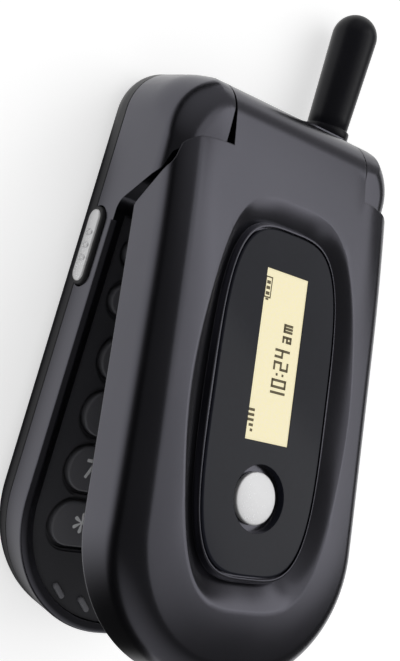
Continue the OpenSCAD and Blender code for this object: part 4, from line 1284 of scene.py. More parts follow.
@dataclass
class EndFittings:
    """Antenna, sockets, jack cover and volume rocker."""

    repeater: Repeater
    sizes: PhoneSizes = SIZES
    antenna_x: float = 17.4
    antenna_z: float = 6.0
    boss_radius: float = 4.3
    boss_out: float = 1.5
    boss_run: float = 5.9
    antenna_radius: float = 4.0
    antenna_foot: float = 3.65
    antenna_length: float = 22.1
    jack_x: float = 2.2
    jack_z: float = 4.4
    rocker_length: float = 12.6
    rocker_height: float = 4.0
    rocker_y: float = 15.15
    rocker_z: float = 7.1
    rocker_out: float = 0.8

    @property
    def boss_end(self) -> float:
        """Y of the boss's outer face."""
        return self.sizes.end + self.boss_out

    def antenna_boss(self) -> Solid:
        """Boss with round ends that carries the antenna."""
        r = self.boss_radius
        bar = stadium(self.boss_run + 2 * r, 2 * r, 24,
                      (self.antenna_x - self.boss_run / 2, self.antenna_z))
        return prism(bar, self.boss_end - self.boss_out - 5.6, self.boss_end, "Y")

    def jack_room(self) -> Solid:
        """Room of the headset jack and its hole."""
        wall = self.sizes.end - self.sizes.wall
        x, z = self.jack_x, self.jack_z
        room = box((x - 3.15, wall - 8.05, z - 2.15), (x + 3.15, wall, z + 2.15))
        return room.join(cylinder((x, z), 1.7, wall - EPS, self.sizes.end + 1, "Y", 48))

    def port_room(self) -> Solid:
        """Room of the charging port."""
        end = self.sizes.end
        return box((-4.75, -end - 1, 2.65), (4.75, -end + 6.5, 5.55))

    def rocker_room(self) -> Solid:
        """Room of the volume rocker behind the side wall."""
        s = self.sizes
        grow = 0.85
        y, z = self.rocker_y, self.rocker_z
        reach = self.rocker_length / 2 + grow + 0.2
        x1 = -s.half + s.wall + 1.35
        room = box((-s.half + s.wall, y - reach, z - self.rocker_height / 2 - grow),
                   (x1, y + reach, z + self.rocker_height / 2 + grow))
        hole = stadium(self.rocker_length + 0.5, self.rocker_height + 0.5, 20, (y, z))
        return room.join(prism(hole, -s.half - 2, -s.half + s.wall + EPS, "X"))

    def antenna(self) -> None:
        """Builds the stub antenna with its collar and domed tip."""
        tip = self.antenna_length - self.antenna_radius
        r = self.boss_radius
        profile = [(0, 0), (r - 0.5, 0), (r - 0.25, 0.08), (r - 0.15, 0.3), (r - 0.15, 1.05),
                   (r - 0.22, 1.28), (r - 0.42, 1.4), (self.antenna_foot + 0.05, 1.42),
                   (self.antenna_foot - 0.08, 1.5), (self.antenna_foot - 0.08, 1.68),
                   (self.antenna_foot, 1.78)]
        profile += [(self.antenna_foot + (self.antenna_radius - self.antenna_foot) * i / 10,
                     1.78 + (tip - 1.78) * i / 10) for i in range(1, 10)]
        profile += arc((0, tip), self.antenna_radius, 3, 90, 22)
        body = lathe(profile, 128)
        body.turned(Matrix.Translation((self.antenna_x, self.boss_end + 0.05, self.antenna_z))
                    @ Matrix.Rotation(math.radians(-90), 4, "X"))
        place(body, "antenna_stub", "base", ANTENNA_SKIN, ["antenna"], sharp=40)

    def rocker(self) -> None:
        """Builds the volume rocker with three raised marks."""
        s = self.sizes
        length, height, out = self.rocker_length, self.rocker_height, self.rocker_out
        cap = soft_bar(length, height, -1.7, out - 0.25, 0.3, 0, 20)
        face = soft_bar(length - 1, height - 1, 0, out, 0.3, 0.04, 20)
        flange = prism(stadium(length + 1.2, height + 1.2), -2.2, -1.7 + EPS)
        cap.join(flange)
        mark = lathe([(0, -0.2), (0.8, -0.2), (0.8, 0.06), (0.72, 0.17), (0.6, 0.21), (0.48, 0.17),
                      (0.4, 0.02), (0, 0.02)], 40)
        mark.turned(Matrix.Diagonal((0.7, 1.2, 1, 1)))
        marks = self.repeater.repeat(mark, [(2.05 * i, 0, out) for i in (-1, 0, 1)])
        outwards = Matrix(((0, 0, -1, 0), (1, 0, 0, 0), (0, -1, 0, 0), (0, 0, 0, 1)))
        here = Matrix.Translation((-s.half, self.rocker_y, self.rocker_z)) @ outwards
        place(cap.turned(here), "volume_rocker_cap", "rocker", RUBBER, ["volume_rocker"])
        place(face.turned(here), "volume_rocker_face", "rocker", SILVER)
        place(marks.turned(here), "volume_rocker_marks", "rocker", SILVER, sharp=50)

    def jack_cover(self) -> None:
        """Builds the rubber cover of the headset jack with its stub."""
        s = self.sizes
        cover = soft_bar(7.4, 4.4, 0, 1.0, 0.35, 0.05, 24)
        cover.turned(Matrix.Translation((self.jack_x, s.end + 0.15, self.jack_z))
                     @ Matrix.Rotation(math.radians(-90), 4, "X"))
        cover.join(cylinder((self.jack_x, self.jack_z), 1.0, s.end - 0.65, s.end + 0.2, "Y", 40))
        place(cover, "jack_cover_flap", "jack_flap", RUBBER, ["jack_cover"])

    def build(self) -> None:
        """Builds all fittings of the ends and the side."""
        self.antenna()
        self.rocker()
        self.jack_cover()


@dataclass
class Keypad:
    """Keypad plate, keys, navigation ring and rest pads."""

    legends: LegendMaker
    sizes: PhoneSizes = SIZES
    key_size: Point = (10.6, 7.3)
    pitch: Point = (12.2, 9.0)
    first_row: float = -0.6
    proud: float = 0.45
    gap: float = 0.60
    ring: float = 0.35
    plate_thickness: float = 0.7
    deck_thickness: float = 0.6
    nav_y: float = 12.25
    nav_radius: float = 6.4
    select_radius: float = 2.5
    side_x: float = 14.3
    side_width: float = 9.4
    soft: Point = (15.95, 4.2)
    call: Point = (8.55, 5.0)
    sound_hole_y: float = -39.7
    bevel_depth: float = 0.35
    pad_depth: float = 0.4
    pads: Sequence[tuple[float, float, float]] = ((12.5, -38.6, 44), (7, -40.5, 44))

    @property
    def deck_top(self) -> float:
        """Height of the deck below the plate."""
        return self.sizes.plate - self.plate_thickness

    @property
    def top(self) -> float:
        """Height of the keys' rims."""
        return self.sizes.plate + self.proud

    def number_places(self) -> dict[str, Point]:
        """Middles of the number keys, by node name."""
        names = ["key_1", "key_2", "key_3", "key_4", "key_5", "key_6", "key_7", "key_8", "key_9",
                 "key_star", "key_0", "key_hash"]
        return {name: ((i % 3 - 1) * self.pitch[0], self.first_row - (i // 3) * self.pitch[1])
                for i, name in enumerate(names)}

    def side_places(self) -> dict[str, tuple[float, float, float]]:
        """Middles and heights of the side keys, by node name."""
        return {"soft_key_left": (-self.side_x, *self.soft), "soft_key_right": (self.side_x, *self.soft),
                "send_key": (-self.side_x, *self.call), "end_key": (self.side_x, *self.call)}

    def openings(self, margin: float, low: float, high: float) -> list[Solid]:
        """Openings for all keys.

        Args:
            margin: Gap round each key.
            low: Lower end of the openings.
            high: Upper end of the openings.

        Returns:
            One shape for each key and for the ring.
        """
        w, h = self.key_size
        made = [prism(stadium(w + 2 * margin, h + 2 * margin, 24, p), low, high)
                for p in self.number_places().values()]
        made += [prism(stadium(self.side_width + 2 * margin, kh + 2 * margin, 24, (x, y)), low, high)
                 for x, y, kh in self.side_places().values()]
        return made + [cylinder((0, self.nav_y), self.nav_radius + margin, low, high)]

    def pad_matrix(self, pad: tuple[float, float, float], side: int) -> Matrix:
        """Place and turn of one rest pad."""
        return (Matrix.Translation((side * pad[0], pad[1], 0))
                @ Matrix.Rotation(math.radians(side * pad[2]), 4, "Z"))

    def plate(self) -> None:
        """Builds the keypad plate."""
        s = self.sizes
        plate = prism(s.outline(-s.end, s.rim_width + 0.1), self.deck_top + EPS, s.plate)
        plate.meet(box((-s.half, -s.end, self.deck_top), (s.half, s.ramp_y - 1.9, s.rim)))
        plate.cut(*self.openings(self.gap, self.deck_top - 1, s.plate + 1))
        plate.cut(*self.openings(self.gap + self.ring, s.plate - self.bevel_depth, s.plate + 1))
        for pad in self.pads:
            for side in (-1, 1):
                slot = prism(stadium(3.2, 1, 12), s.plate - self.pad_depth, s.plate + 1)
                plate.cut(slot.turned(self.pad_matrix(pad, side)))
        plate.cut(cylinder((0, self.sound_hole_y), 0.6, self.deck_top - 1, s.plate + 1, steps=40))
        place(plate, "keypad_plate_face", "base", PLATE, ["keypad_plate"])

    def rest_pads(self) -> None:
        """Builds the four slanted rubber pads that the shut lid rests on."""
        s = self.sizes
        pads = [soft_bar(3.16, 0.96, s.plate - self.pad_depth, s.plate + 0.5, 0.28, 0.0, 10)
                .turned(self.pad_matrix(pad, side)) for pad in self.pads for side in (-1, 1)]
        place(merged(pads), "rest_pad_set", "base", PAD, ["rest_pads"])

    def cap(self, centre: Point, width: float, height: float) -> Solid:
        """One key cap on its flange.

        Args:
            centre: Its middle.
            width: Width of the cap.
            height: Height of the cap, seen from above.

        Returns:
            The closed shape.
        """
        flange_top = self.deck_top - self.deck_thickness - 0.1
        grow = 2 * (self.gap + 0.15)
        cap = soft_bar(width, height, flange_top - 0.2, self.top - 0.09, 0.35, 0.08, 24)
        cap.join(prism(stadium(width + grow, height + grow, 24), flange_top - 0.5, flange_top))
        return cap.moved(centre[0], centre[1])

    def keys(self) -> None:
        """Builds the twelve number keys with their printed legends, and the four side keys."""
        signs = {"key_star": "*", "key_hash": "#"}
        for name, centre in self.number_places().items():
            place(self.cap(centre, *self.key_size), f"{name}_cap", name, KEY_CAP, [name])
            sign = signs.get(name, name[-1])
            size, shift, drop = (7.4, 0.0, -1.1) if sign == "*" else (4.4, -1.5, 0.0)
            mark = self.legends.write(sign, size, PRINT_DEPTH)
            mark.moved(centre[0] + shift, centre[1] + drop, self.top - PRINT_DEPTH)
            place(mark, f"{name}_legend", name, LEGEND, sharp=20)
        for name, (x, y, height) in self.side_places().items():
            place(self.cap((x, y), self.side_width, height), f"{name}_cap", name, KEY_CAP, [name])
            self.side_mark(name, x, y)

    def side_mark(self, name: str, x: float, y: float) -> None:
        """Prints a plain mark on a side key: a bar on a soft key, a handset arc on the others.

        Args:
            name: Name of the key.
            x: Middle of the key across the phone.
            y: Middle of the key along the phone.
        """
        if name.startswith("soft"):
            outline, ink = stadium(3.2, 0.45, 8), LEGEND
        else:
            outline = arc((0, -1.2), 2.3, 35, 145, 24) + arc((0, -1.2), 1.65, 145, 35, 24)
            ink = GREEN_INK if name == "send_key" else RED_INK
        mark = prism(outline, 0, PRINT_DEPTH).moved(x, y, self.top - PRINT_DEPTH)
        place(mark, f"{name}_mark", name, ink, sharp=20)

    def navigation(self) -> None:
        """Builds the navigation ring with four dimples, and the select key in it."""
        r, bore = self.nav_radius, self.select_radius + 0.4
        low = self.deck_top - self.deck_thickness - 0.75
        flange = low + 0.35
        top = self.top
        profile = [(bore, low), (r + 0.5, low), (r + 0.5, flange), (r, flange), (r, top - 0.32)]
        profile += arc((r - 0.32, top - 0.32), 0.32, 15, 90, 6)
        profile += [(r - 1.2, top + 0.02), (bore + 0.9, top - 0.05), (bore + 0.2, top - 0.12)]
        profile += [(bore, top - 0.3)]
        nav = ring_lathe(profile, 128)
        for a in range(0, 360, 90):
            t = math.radians(a)
            reach = (r + bore) / 2 + 0.2
            ball = lathe([(1.5 * math.cos(math.radians(b)), 1.5 * math.sin(math.radians(b)))
                          for b in range(-90, 91, 9)], 48)
            nav.cut(ball.moved(reach * math.cos(t), reach * math.sin(t), top + 1.25))
        place(nav.moved(0, self.nav_y), "nav_ring_cap", "nav", SILVER, ["nav_ring"], sharp=35)
        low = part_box("select_key")[0].z / MM
        r = self.select_radius
        knob = [(0, low), (r, low), (r, top - 0.4)] + arc((r - 0.3, top - 0.4), 0.3, 15, 90, 6)
        knob += [(r * 0.6, top - 0.16), (r * 0.3, top - 0.2), (0, top - 0.21)]
        place(lathe(knob).moved(0, self.nav_y), "select_key_cap", "select", KEY_CAP, ["select_key"])

    def build(self) -> None:
        """Builds the whole keypad."""
        self.plate()
        self.rest_pads()
        self.keys()
        self.navigation()


@dataclass
class FrontHousing:
    """Front housing with the two knuckles."""

    sizes: PhoneSizes = SIZES
    profile: SideProfile = field(default_factory=SideProfile)
    ridge_drop: float = 0.4
    pivot_bore: float = 3.4
    left_wall: float = 3.2
    right_wall: float = 1.5

    def barrel_pocket(self) -> list[Solid]:
        """Opening between the knuckles for the barrel and the lid's neck."""
        s = self.sizes
        x0, x1 = s.knuckles
        y, z = s.hinge
        low = z + s.neck_rise - self.ridge_drop
        wedge = [(x0 + EPS, y + s.barrel_radius), (x0 - s.knuckle_taper, y - s.ramp_shoulder),
                 (x0 + EPS, s.ramp_y)]
        return [cylinder((y, z), s.barrel_radius + s.pocket_gap, x0, x1, "X", 160),
                box((x0, s.ramp_y - 2, low), (x1, y, self.profile.above)),
                prism(wedge, low, self.profile.above)]

    def swept_room(self) -> Solid:
        """Space above the rear ledge, which the opened lid sweeps."""
        s = self.sizes
        x0, x1 = s.knuckles
        y, z = s.hinge
        ledge = self.profile.ledge
        outline = [(y + 3.4, z - s.barrel_radius + 0.84), (s.end, ledge), (s.end + 3, ledge + 1.6),
                   (s.end + 3, self.profile.above), (y, self.profile.above)]
        return prism(outline, x0, x1, "X")

    def build(self, forms: ShellForms, ends: EndFittings, keypad: Keypad) -> None:
        """Builds the front housing.

        Args:
            forms: Lofts of the housings.
            ends: Sockets, boss and rocker.
            keypad: Keypad, whose recess and openings are cut out.
        """
        s = self.sizes
        upper = forms.upper(s.tub_height + 0.8, -s.end)
        upper.meet(prism(self.profile.base(), -s.half - 1, s.half + 1, "X"))
        shell = forms.frame().join(upper, ends.antenna_boss())
        recess = prism(s.outline(-s.end, s.rim_width), keypad.deck_top, self.profile.above)
        shell.cut(recess.meet(box((-s.half, -s.end, keypad.deck_top),
                                  (s.half, s.ramp_y - 1.8, self.profile.above))))
        deck = keypad.deck_top - keypad.deck_thickness
        room = prism(s.outline(-s.end, s.wall), s.tub_height - EPS, deck)
        room.meet(box((-s.half, -s.end, 0), (s.half, s.ramp_y - 1.9, 30)))
        room.cut(*[cylinder(p, 1.6, 0, s.rim, steps=48) for p in s.screw_places])
        shell.cut(room)
        shell.cut(*keypad.openings(keypad.gap, deck - EPS, keypad.deck_top + EPS))
        shell.cut(*self.barrel_pocket())
        shell.cut(self.swept_room())
        shell.cut(ends.jack_room(), ends.rocker_room())
        y, z = s.hinge
        left, right = s.knuckles
        shell.cut(cylinder((y, z), s.cartridge_bore, -s.half + self.left_wall, left + EPS, "X"),
                  cylinder((y, z), self.pivot_bore, right - EPS, s.half - self.right_wall, "X"))
        shell.cut(cylinder((ends.antenna_x, ends.antenna_z), 1.9, s.end - 3.65,
                           ends.boss_end + EPS, "Y", 48))
        shell.cut(cylinder((0, keypad.sound_hole_y), 0.8, deck - EPS, keypad.deck_top + EPS,
                           steps=40))
        for p in s.screw_places:
            shell.cut(cylinder(p, 0.75, s.tub_height - EPS, s.rim - 2.6, steps=32))
        place(shell, "front_housing_shell", "base", LACQUER, ["front_housing"])


@dataclass
class Lid:
    """Lid shells, oval lens panel, outer display, silver disc and inner window."""

    repeater: Repeater
    sizes: PhoneSizes = SIZES
    profile: SideProfile = field(default_factory=SideProfile)
    lens_size: Point = (23.0, 51.8)
    lens_y: float = -2.35
    lens_power: float = 3.6
    lens_thickness: float = 1.2
    moat_width: float = 4.7
    lip: float = 0.7
    lip_rise: float = 1.2
    moat_depth: float = 2.0
    moat_power: float = 1.2
    lip_power: float = 5.0
    moat_steps: int = 16
    crown_steps: int = 12
    rim_drop: Point = (0.04, 0.06)
    groove: float = 0.25
    inner_thickness: float = 1.4
    cartridge_run: float = 9.5
    pivot_bore: float = 3.46
    pivot_run: float = 1.51
    cable_bore: float = 4.6
    cable_room: Point = (4.3, 1.5)
    display_size: Point = (8.8, 26.0)
    display_y: float = 4.35
    figure_size: tuple[float, float, float] = (1.4, 3.1, 0.4)
    disc_y: float = -16.95
    disc_radius: float = 3.95
    well_radius: float = 5.05
    window: tuple[float, float, float] = (32.0, 41.0, -10.6)
    grille_y: float = 14.5
    screws: Sequence[Point] = ((17.6, 14.4), (-17.6, 14.4), (13, -36.6), (-13, -36.6))

    @property
    def lens_top(self) -> float:
        """Height of the lens panel's face on the closed phone."""
        return self.sizes.closed - 0.7

    @property
    def lens_low(self) -> float:
        """Height of the lens panel's back."""
        return self.lens_top - self.lens_thickness

    @property
    def cavity_top(self) -> float:
        """Height of the roof of the lid's cavity."""
        return self.lens_low - 1.2

    def oval_reach(self, direction: Vector, grow: float) -> float:
        """Distance from the oval's middle to its edge.

        Args:
            direction: Unit direction.
            grow: Margin round the oval.

        Returns:
            The distance.
        """
        a, b = self.lens_size[0] / 2 + grow, self.lens_size[1] / 2 + grow
        p = self.lens_power
        return (abs(direction.x / a) ** p + abs(direction.y / b) ** p) ** (-1 / p)

    def oval(self, grow: float, steps: int = 192) -> list[Point]:
        """Outline of the lens panel's oval.

        Args:
            grow: Margin round the oval.
            steps: Number of points.

        Returns:
            Points, anticlockwise.
        """
        a, b = self.lens_size[0] / 2 + grow, self.lens_size[1] / 2 + grow
        e = 2 / self.lens_power
        points = []
        for i in range(steps):
            t = 2 * math.pi * (i + 0.5) / steps
            c, s = math.cos(t), math.sin(t)
            points.append((a * math.copysign(abs(c) ** e, c),
                           self.lens_y + b * math.copysign(abs(s) ** e, s)))
        return points

    def side_inset(self, inset: float, point: Vector) -> float:
        """Distance that sets the crown's height, which near the hinge counts from the sides only.

        Args:
            inset: Distance from the outline.
            point: The place.

        Returns:
            The distance.
        """
        x0, x1 = self.sizes.barrel
        near = min(max((point.y - 28) / 5, 0), 1)
        within = min(max(min(point.x - x0, x1 - point.x) + 1, 0), 1)
        return inset + (self.sizes.half - abs(point.x) - inset) * near * within

    def crown_rings(self, forms: ShellForms) -> list[Ring]:
        """Rings from the shoulders across the crown and down the dished ring to the lens groove.

        Args:
            forms: Lofts of the housings.

        Returns:
            Rings with as many points as the outline.
        """
        s = self.sizes
        start = forms.shoulder()[-1][1]
        outer = [(x, y) for x, y, _ in forms.rings([(s.closed, start, 1.0)], s.lid_end)[0]]
        middle = Vector((0, self.lens_y))
        inner_height = s.closed - self.moat_depth
        rays = []
        for x, y in outer:
            away = Vector((x, y)) - middle
            reach = self.oval_reach(away.normalized(), self.groove)
            rays.append((away.normalized(), reach, away.length - reach))
        slope = self.moat_width - self.lip
        rim_step, rim_sink = self.rim_drop
        moat = [0, rim_step, 0.12, 0.2, 0.28, 0.36, 0.44, self.lip]
        moat += [self.lip + slope * i / self.moat_steps for i in range(1, self.moat_steps + 1)]
        plans: list[Callable[[float], float]] = []
        for k in range(1, self.crown_steps):
            plans.append(lambda run, share=1 - k / self.crown_steps:
                         self.moat_width + (run - self.moat_width) * share)
        plans += [lambda run, d=d: d for d in reversed(moat)]
        rings = []
        for plan in plans:
            ring: Ring = []
            for way, reach, run in rays:
                d = plan(run)
                p = middle + way * (reach + d)
                top = forms.crown(self.side_inset(start + run - d, p)) - s.fall(p.y)
                share = min(max(d - self.lip, 0) / slope, 1.0)
                z = top - (top - inner_height) * (1 - share) ** self.moat_power
                if d < self.lip:
                    z += self.lip_rise * (1 - (d / self.lip) ** self.lip_power)
                if d < rim_step:
                    z -= rim_sink
                ring.append((p.x, p.y, z))
            rings.append(ring)
        floor = [(x, y, self.lens_low) for x, y, _ in rings[-1]]
        return rings + [floor]

    def outer_shell(self, forms: ShellForms) -> None:
        """Builds the outer shell with its barrel.

        Args:
            forms: Lofts of the housings.
        """
        s = self.sizes
        low = s.lid_low
        levels = [(low, 0.55, 0.0), (low + 0.06, 0.3, 0.0), (low + 0.22, 0.1, 0.0),
                  (low + 0.5, 0.0, 0.0)] + forms.side() + forms.shoulder()
        rings = forms.rings(levels, s.lid_end) + self.crown_rings(forms)
        shell = loft(rings)
        y, z = s.hinge
        neck = z + s.neck_rise
        x0, x1 = s.barrel
        sides = prism(self.profile.lid(), -s.half - 1, s.half + 1, "X")
        sides.join(box((x0, s.ramp_y + 2.5, neck), (x1, self.profile.crown_end, self.profile.above)))
        shell.meet(sides)
        shell.join(cylinder((y, z), s.barrel_radius, x0, x1, "X", 160))
        w, length = self.display_size
        shell.cut(box((-w / 2 - 0.7, self.display_y - length / 2 - 0.7, self.cavity_top - EPS),
                      (w / 2 + 0.7, self.display_y + length / 2 + 0.7, self.profile.above)))
        shell.cut(cylinder((0, self.disc_y), self.well_radius, self.lens_low - 0.3, 30))
        room = prism(s.outline(s.lid_end, s.wall), s.lid_low - 1, self.cavity_top)
        room.meet(box((-s.half, -s.end, s.lid_low - 1), (s.half, s.ramp_y - 1, HIGH)))
        room.cut(*[cylinder(p, 1.9, s.lid_low + self.inner_thickness, HIGH, steps=48)
                   for p in self.screws])
        shell.cut(room)
        start, margin = self.cable_room
        shell.cut(cylinder((y, z), s.cartridge_bore, x0 - EPS, x0 + self.cartridge_run, "X"),
                  cylinder((y, z), self.pivot_bore, x1 - self.pivot_run, x1 + EPS, "X"),
                  cylinder((y, z), self.cable_bore, start, x1 - margin, "X"))
        place(shell, "lid_outer_cover", "lid", LACQUER, ["lid_outer_shell"], on_lid=True)

    def inner_shell(self) -> None:
        """Builds the inner shell with its window recess and sound holes."""
        s = self.sizes
        low, top = s.lid_low, s.lid_low + self.inner_thickness
        shell = prism(s.outline(s.lid_end, s.wall + 0.1), low, top)
        shell.meet(box((-s.half, -s.end, low - 1), (s.half, s.ramp_y - 1.1, top + 1)))
        w, length, y = self.window
        shell.cut(box((-w / 2 - 0.1, y - length / 2 - 0.1, low - 1),
                      (w / 2 + 0.1, y + length / 2 + 0.1, low + 0.85)),
                  box((-w / 2 + 1.2, y - length / 2 + 1.2, low - 1),
                      (w / 2 - 1.2, y + length / 2 - 1.2, top + 1)))
        shell.cut(prism(stadium(11.2, 3.2, 20, (0, self.grille_y)), low - 1, low + 0.5))
        holes = self.repeater.repeat(cylinder((0, 0), 0.45, low - 1, top + 1, steps=24),
                                     [(1.8 * i, self.grille_y, 0) for i in range(-2, 3)])
        shell.cut(holes)
        for p in self.screws:
            shell.cut(cylinder(p, 1.75, low - 1, low + 1.0, steps=48),
                      cylinder(p, 0.8, low - 1, top + 1, steps=32))
        place(shell, "lid_inner_cover", "lid", PLATE, ["lid_inner_shell"], on_lid=True)

    def lens(self) -> None:
        """Builds the smoked lens panel with the display's opening and the disc's well."""
        top, low = self.lens_top, self.lens_low
        levels = [(0.0, low), (0.0, top - 0.3)]
        levels += [(0.3 * (1 - math.cos(a)), top - 0.3 * (1 - math.sin(a)))
                   for a in (math.radians(15 * i) for i in range(1, 7))]
        rings = [[(x, y, z) for x, y in self.oval(-inset)] for inset, z in levels]
        panel = loft(rings, strips=False)
        w, length = self.display_size
        panel.cut(box((-w / 2, self.display_y - length / 2, low - 1),
                      (w / 2, self.display_y + length / 2, HIGH)))
        panel.cut(cylinder((0, self.disc_y), self.well_radius, low - 1, HIGH, steps=128))
        place(panel, "lens_panel_face", "lid", LENS, ["lens_panel"], on_lid=True)

    def display(self) -> None:
        """Builds the lit outer display and the figures on it."""
        w, length = self.display_size
        face = self.lens_top - 0.12
        back = box((-w / 2 - 1.8, self.display_y - length / 2 - 2, self.cavity_top - 2.3),
                   (w / 2 + 1.8, self.display_y + length / 2 + 2, self.cavity_top - 0.05))
        lit = box((-w / 2 + 0.02, self.display_y - length / 2 + 0.02, self.cavity_top - 0.1),
                  (w / 2 - 0.02, self.display_y + length / 2 - 0.02, face))
        place(back.join(lit), "outer_display_lit", "lid", LCD_CREAM, ["outer_display"], on_lid=True)
        marks = self.clock(face) + self.bars(face)
        place(merged(marks), "outer_display_figures", "lid", LCD_INK, on_lid=True)

    def clock(self, face: float) -> list[Solid]:
        """Clock reading of segment figures that runs along the lid.

        Args:
            face: Height of the display's face.

        Returns:
            The segments.
        """
        w, h, t = self.figure_size
        a, x = 0.78 * w, 0.62 * h
        strokes = {"a": ((0, h - t, w, t),), "b": ((w - t, h / 2, t, h / 2),),
                   "c": ((w - t, 0, t, h / 2),), "d": ((0, 0, w, t),), "e": ((0, 0, t, h / 2),),
                   "f": ((0, h / 2, t, h / 2),), "g": ((0, (h - t) / 2, w, t),),
                   ":": ((0, 0.24 * h, t, t), (0, 0.64 * h, t, t)),
                   "A": ((0, 0, a, t), (0, x / 2 - t / 2, a, t), (0, x - t, a, t),
                         (a - t, 0, t, x), (0, 0, t, x / 2)),
                   "M": ((0, 0, t, x), (w / 2 - t / 2, 0, t, x), (w - t, 0, t, x), (0, x - t, w, t))}
        made = []
        along = self.display_y - 0.3 - 6.2
        for figure, step in (("bc", 1.34), ("abcdef", 1.34), (":", 0.82), ("abged", 1.34),
                             ("fgbc", 1.75), ("A", 1.12), ("M", 1.0)):
            for letter in figure:
                for dx, dy, length, height in strokes[letter]:
                    made.append(self._bar(along + dx + length / 2, dy + (height - h) / 2 - 0.4,
                                          length, height, face))
            along += step * w if figure != ":" else step
        return made

    def _bar(self, along: float, up: float, length: float, height: float, face: float) -> Solid:
        """One flat mark, placed in the reading direction of the display, which runs along +Y.

        Args:
            along: Place along the line of text.
            up: Place above the line's middle.
            length: Size along the line.
            height: Size across the line.
            face: Height of the display's face.

        Returns:
            The mark.
        """
        x = 0.55 - up
        return box((x - height / 2, along - length / 2, face - 0.01),
                   (x + height / 2, along + length / 2, face + 0.015))

    def bars(self, face: float) -> list[Solid]:
        """Signal bars at one end of the display and a battery sign at the other.

        Args:
            face: Height of the display's face.

        Returns:
            The marks.
        """
        y0 = self.display_y - self.display_size[1] / 2 + 1.4
        y1 = self.display_y + self.display_size[1] / 2 - 1.2
        low, up = 3.9, 3.9 + 0.35
        made = [self._bar(y0 + 0.75 * i, low + 0.18 * i, 0.42, 0.5 + 0.36 * i, face)
                for i in range(5)]
        made += [self._bar(y1 - 3.6, up, 0.3, 0.6, face)]
        made += [self._bar(y1 - 1.75, up + side * 0.62, 3.3, 0.2, face) for side in (-1, 1)]
        made += [self._bar(y1 - end, up, 0.22, 1.3, face) for end in (3.3, 0.2)]
        made += [self._bar(y1 - 2.7 + 0.85 * i, up, 0.5, 0.75, face) for i in range(3)]
        return made

    def disc(self) -> None:
        """Builds the plain silver disc in its well."""
        low = self.lens_low - 0.3
        r = self.disc_radius
        top = low + 0.9
        profile = [(0, low), (r - 0.1, low), (r, low + 0.1), (r, top - 0.22)]
        profile += arc((r - 0.22, top - 0.22), 0.22, 15, 90, 6)
        profile += [(r * share, top + rise)
                    for share, rise in ((0.75, 0.03), (0.5, 0.055), (0.25, 0.07), (0, 0.075))]
        place(lathe(profile, 128).moved(0, self.disc_y), "silver_disc", "lid", SILVER,
              ["emblem_disc"], on_lid=True)

    def grille(self) -> None:
        """Builds the earpiece grille."""
        low = self.sizes.lid_low
        plate = soft_bar(11, 3, -0.45, 0.0, 0.12, 0.0, 20)
        plate.turned(Matrix.Scale(-1, 4, (0, 0, 1))).moved(0, self.grille_y, low)
        slots = []
        for i in range(-3, 4):
            reach = 1.4 if i in (-3, 3) else 2.0
            slots.append(prism(stadium(reach, 0.6, 10), low - 1, low + 1)
                         .turned(Matrix.Translation((i * 1.3, self.grille_y, 0))
                                 @ Matrix.Rotation(math.pi / 2, 4, "Z")))
        plate.cut(*slots)
        place(plate, "earpiece_grille_plate", "lid", SILVER, ["earpiece_grille"], on_lid=True)

    def window_pane(self) -> None:
        """Builds the clear window over the inner display."""
        w, length, y = self.window
        low = self.sizes.lid_low
        pane = box((-w / 2, y - length / 2, low), (w / 2, y + length / 2, low + 0.8))
        place(pane, "inner_window_pane", "lid", CLEAR, ["inner_window"], on_lid=True)

    def plugs(self) -> None:
        """Builds the four rubber screw plugs."""
        low, high = (c.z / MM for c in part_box("screw_plugs"))
        low_plug, high_plug = self.sizes.lid_low + 0.02, self.sizes.lid_low + 0.45
        log.debug("plugs lie between %.2f and %.2f", low, high)
        plug = lathe([(0, low_plug + 0.03), (1.2, low_plug), (1.5, low_plug + 0.03),
                      (1.62, low_plug + 0.12), (1.65, high_plug), (0, high_plug)], 48)
        plugs = self.repeater.repeat(plug, [(x, y, 0) for x, y in self.screws])
        place(plugs, "screw_plug_set", "lid", RUBBER, ["screw_plugs"], on_lid=True)

    def build(self, forms: ShellForms) -> None:
        """Builds the whole lid.

        Args:
            forms: Lofts of the housings.
        """
        self.outer_shell(forms)
        self.inner_shell()
        self.lens()
        self.display()
        self.disc()
        self.grille()
        self.window_pane()
        self.plugs()


# ---------------------------------------------------------------- carried-over nodes


@dataclass
class InnerParts:
    """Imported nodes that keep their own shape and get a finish."""

    finishes: dict[str, Finish] = field(default_factory=lambda: {
        "battery": WRAP, "battery_contacts": GOLD, "main_board": BOARD, "shield_can": TIN,
        "dome_sheet": DOME_FILM, "key_mat": RUBBER, "nav_actuator": RUBBER, "rocker_switch": SOCKET,
        "microphone": TIN, "loudspeaker": SOCKET, "vibration_motor": TIN, "headset_jack": SOCKET,
        "charging_port": TIN, "antenna_insert": BRASS, "hinge_cartridge": STEEL, "hinge_cam": STEEL,
        "hinge_pivot": STEEL, "inner_display": INNER_LCD, "earpiece": SOCKET, "lid_board": BOARD,
        "flex_cable": AMBER, "lid_screws": STEEL})

    def dress(self, nodes: dict[str, bpy.types.Object]) -> None:
        """Gives each carried-over node its finish.

        Args:
            nodes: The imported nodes, by name.
        """
        for name, finish in self.finishes.items():
            for slot in nodes[name].material_slots:
                slot.material = finish.build()
            log.info("%-24s keeps its shape, finish %s", name, finish.slot)


# ---------------------------------------------------------------- studio


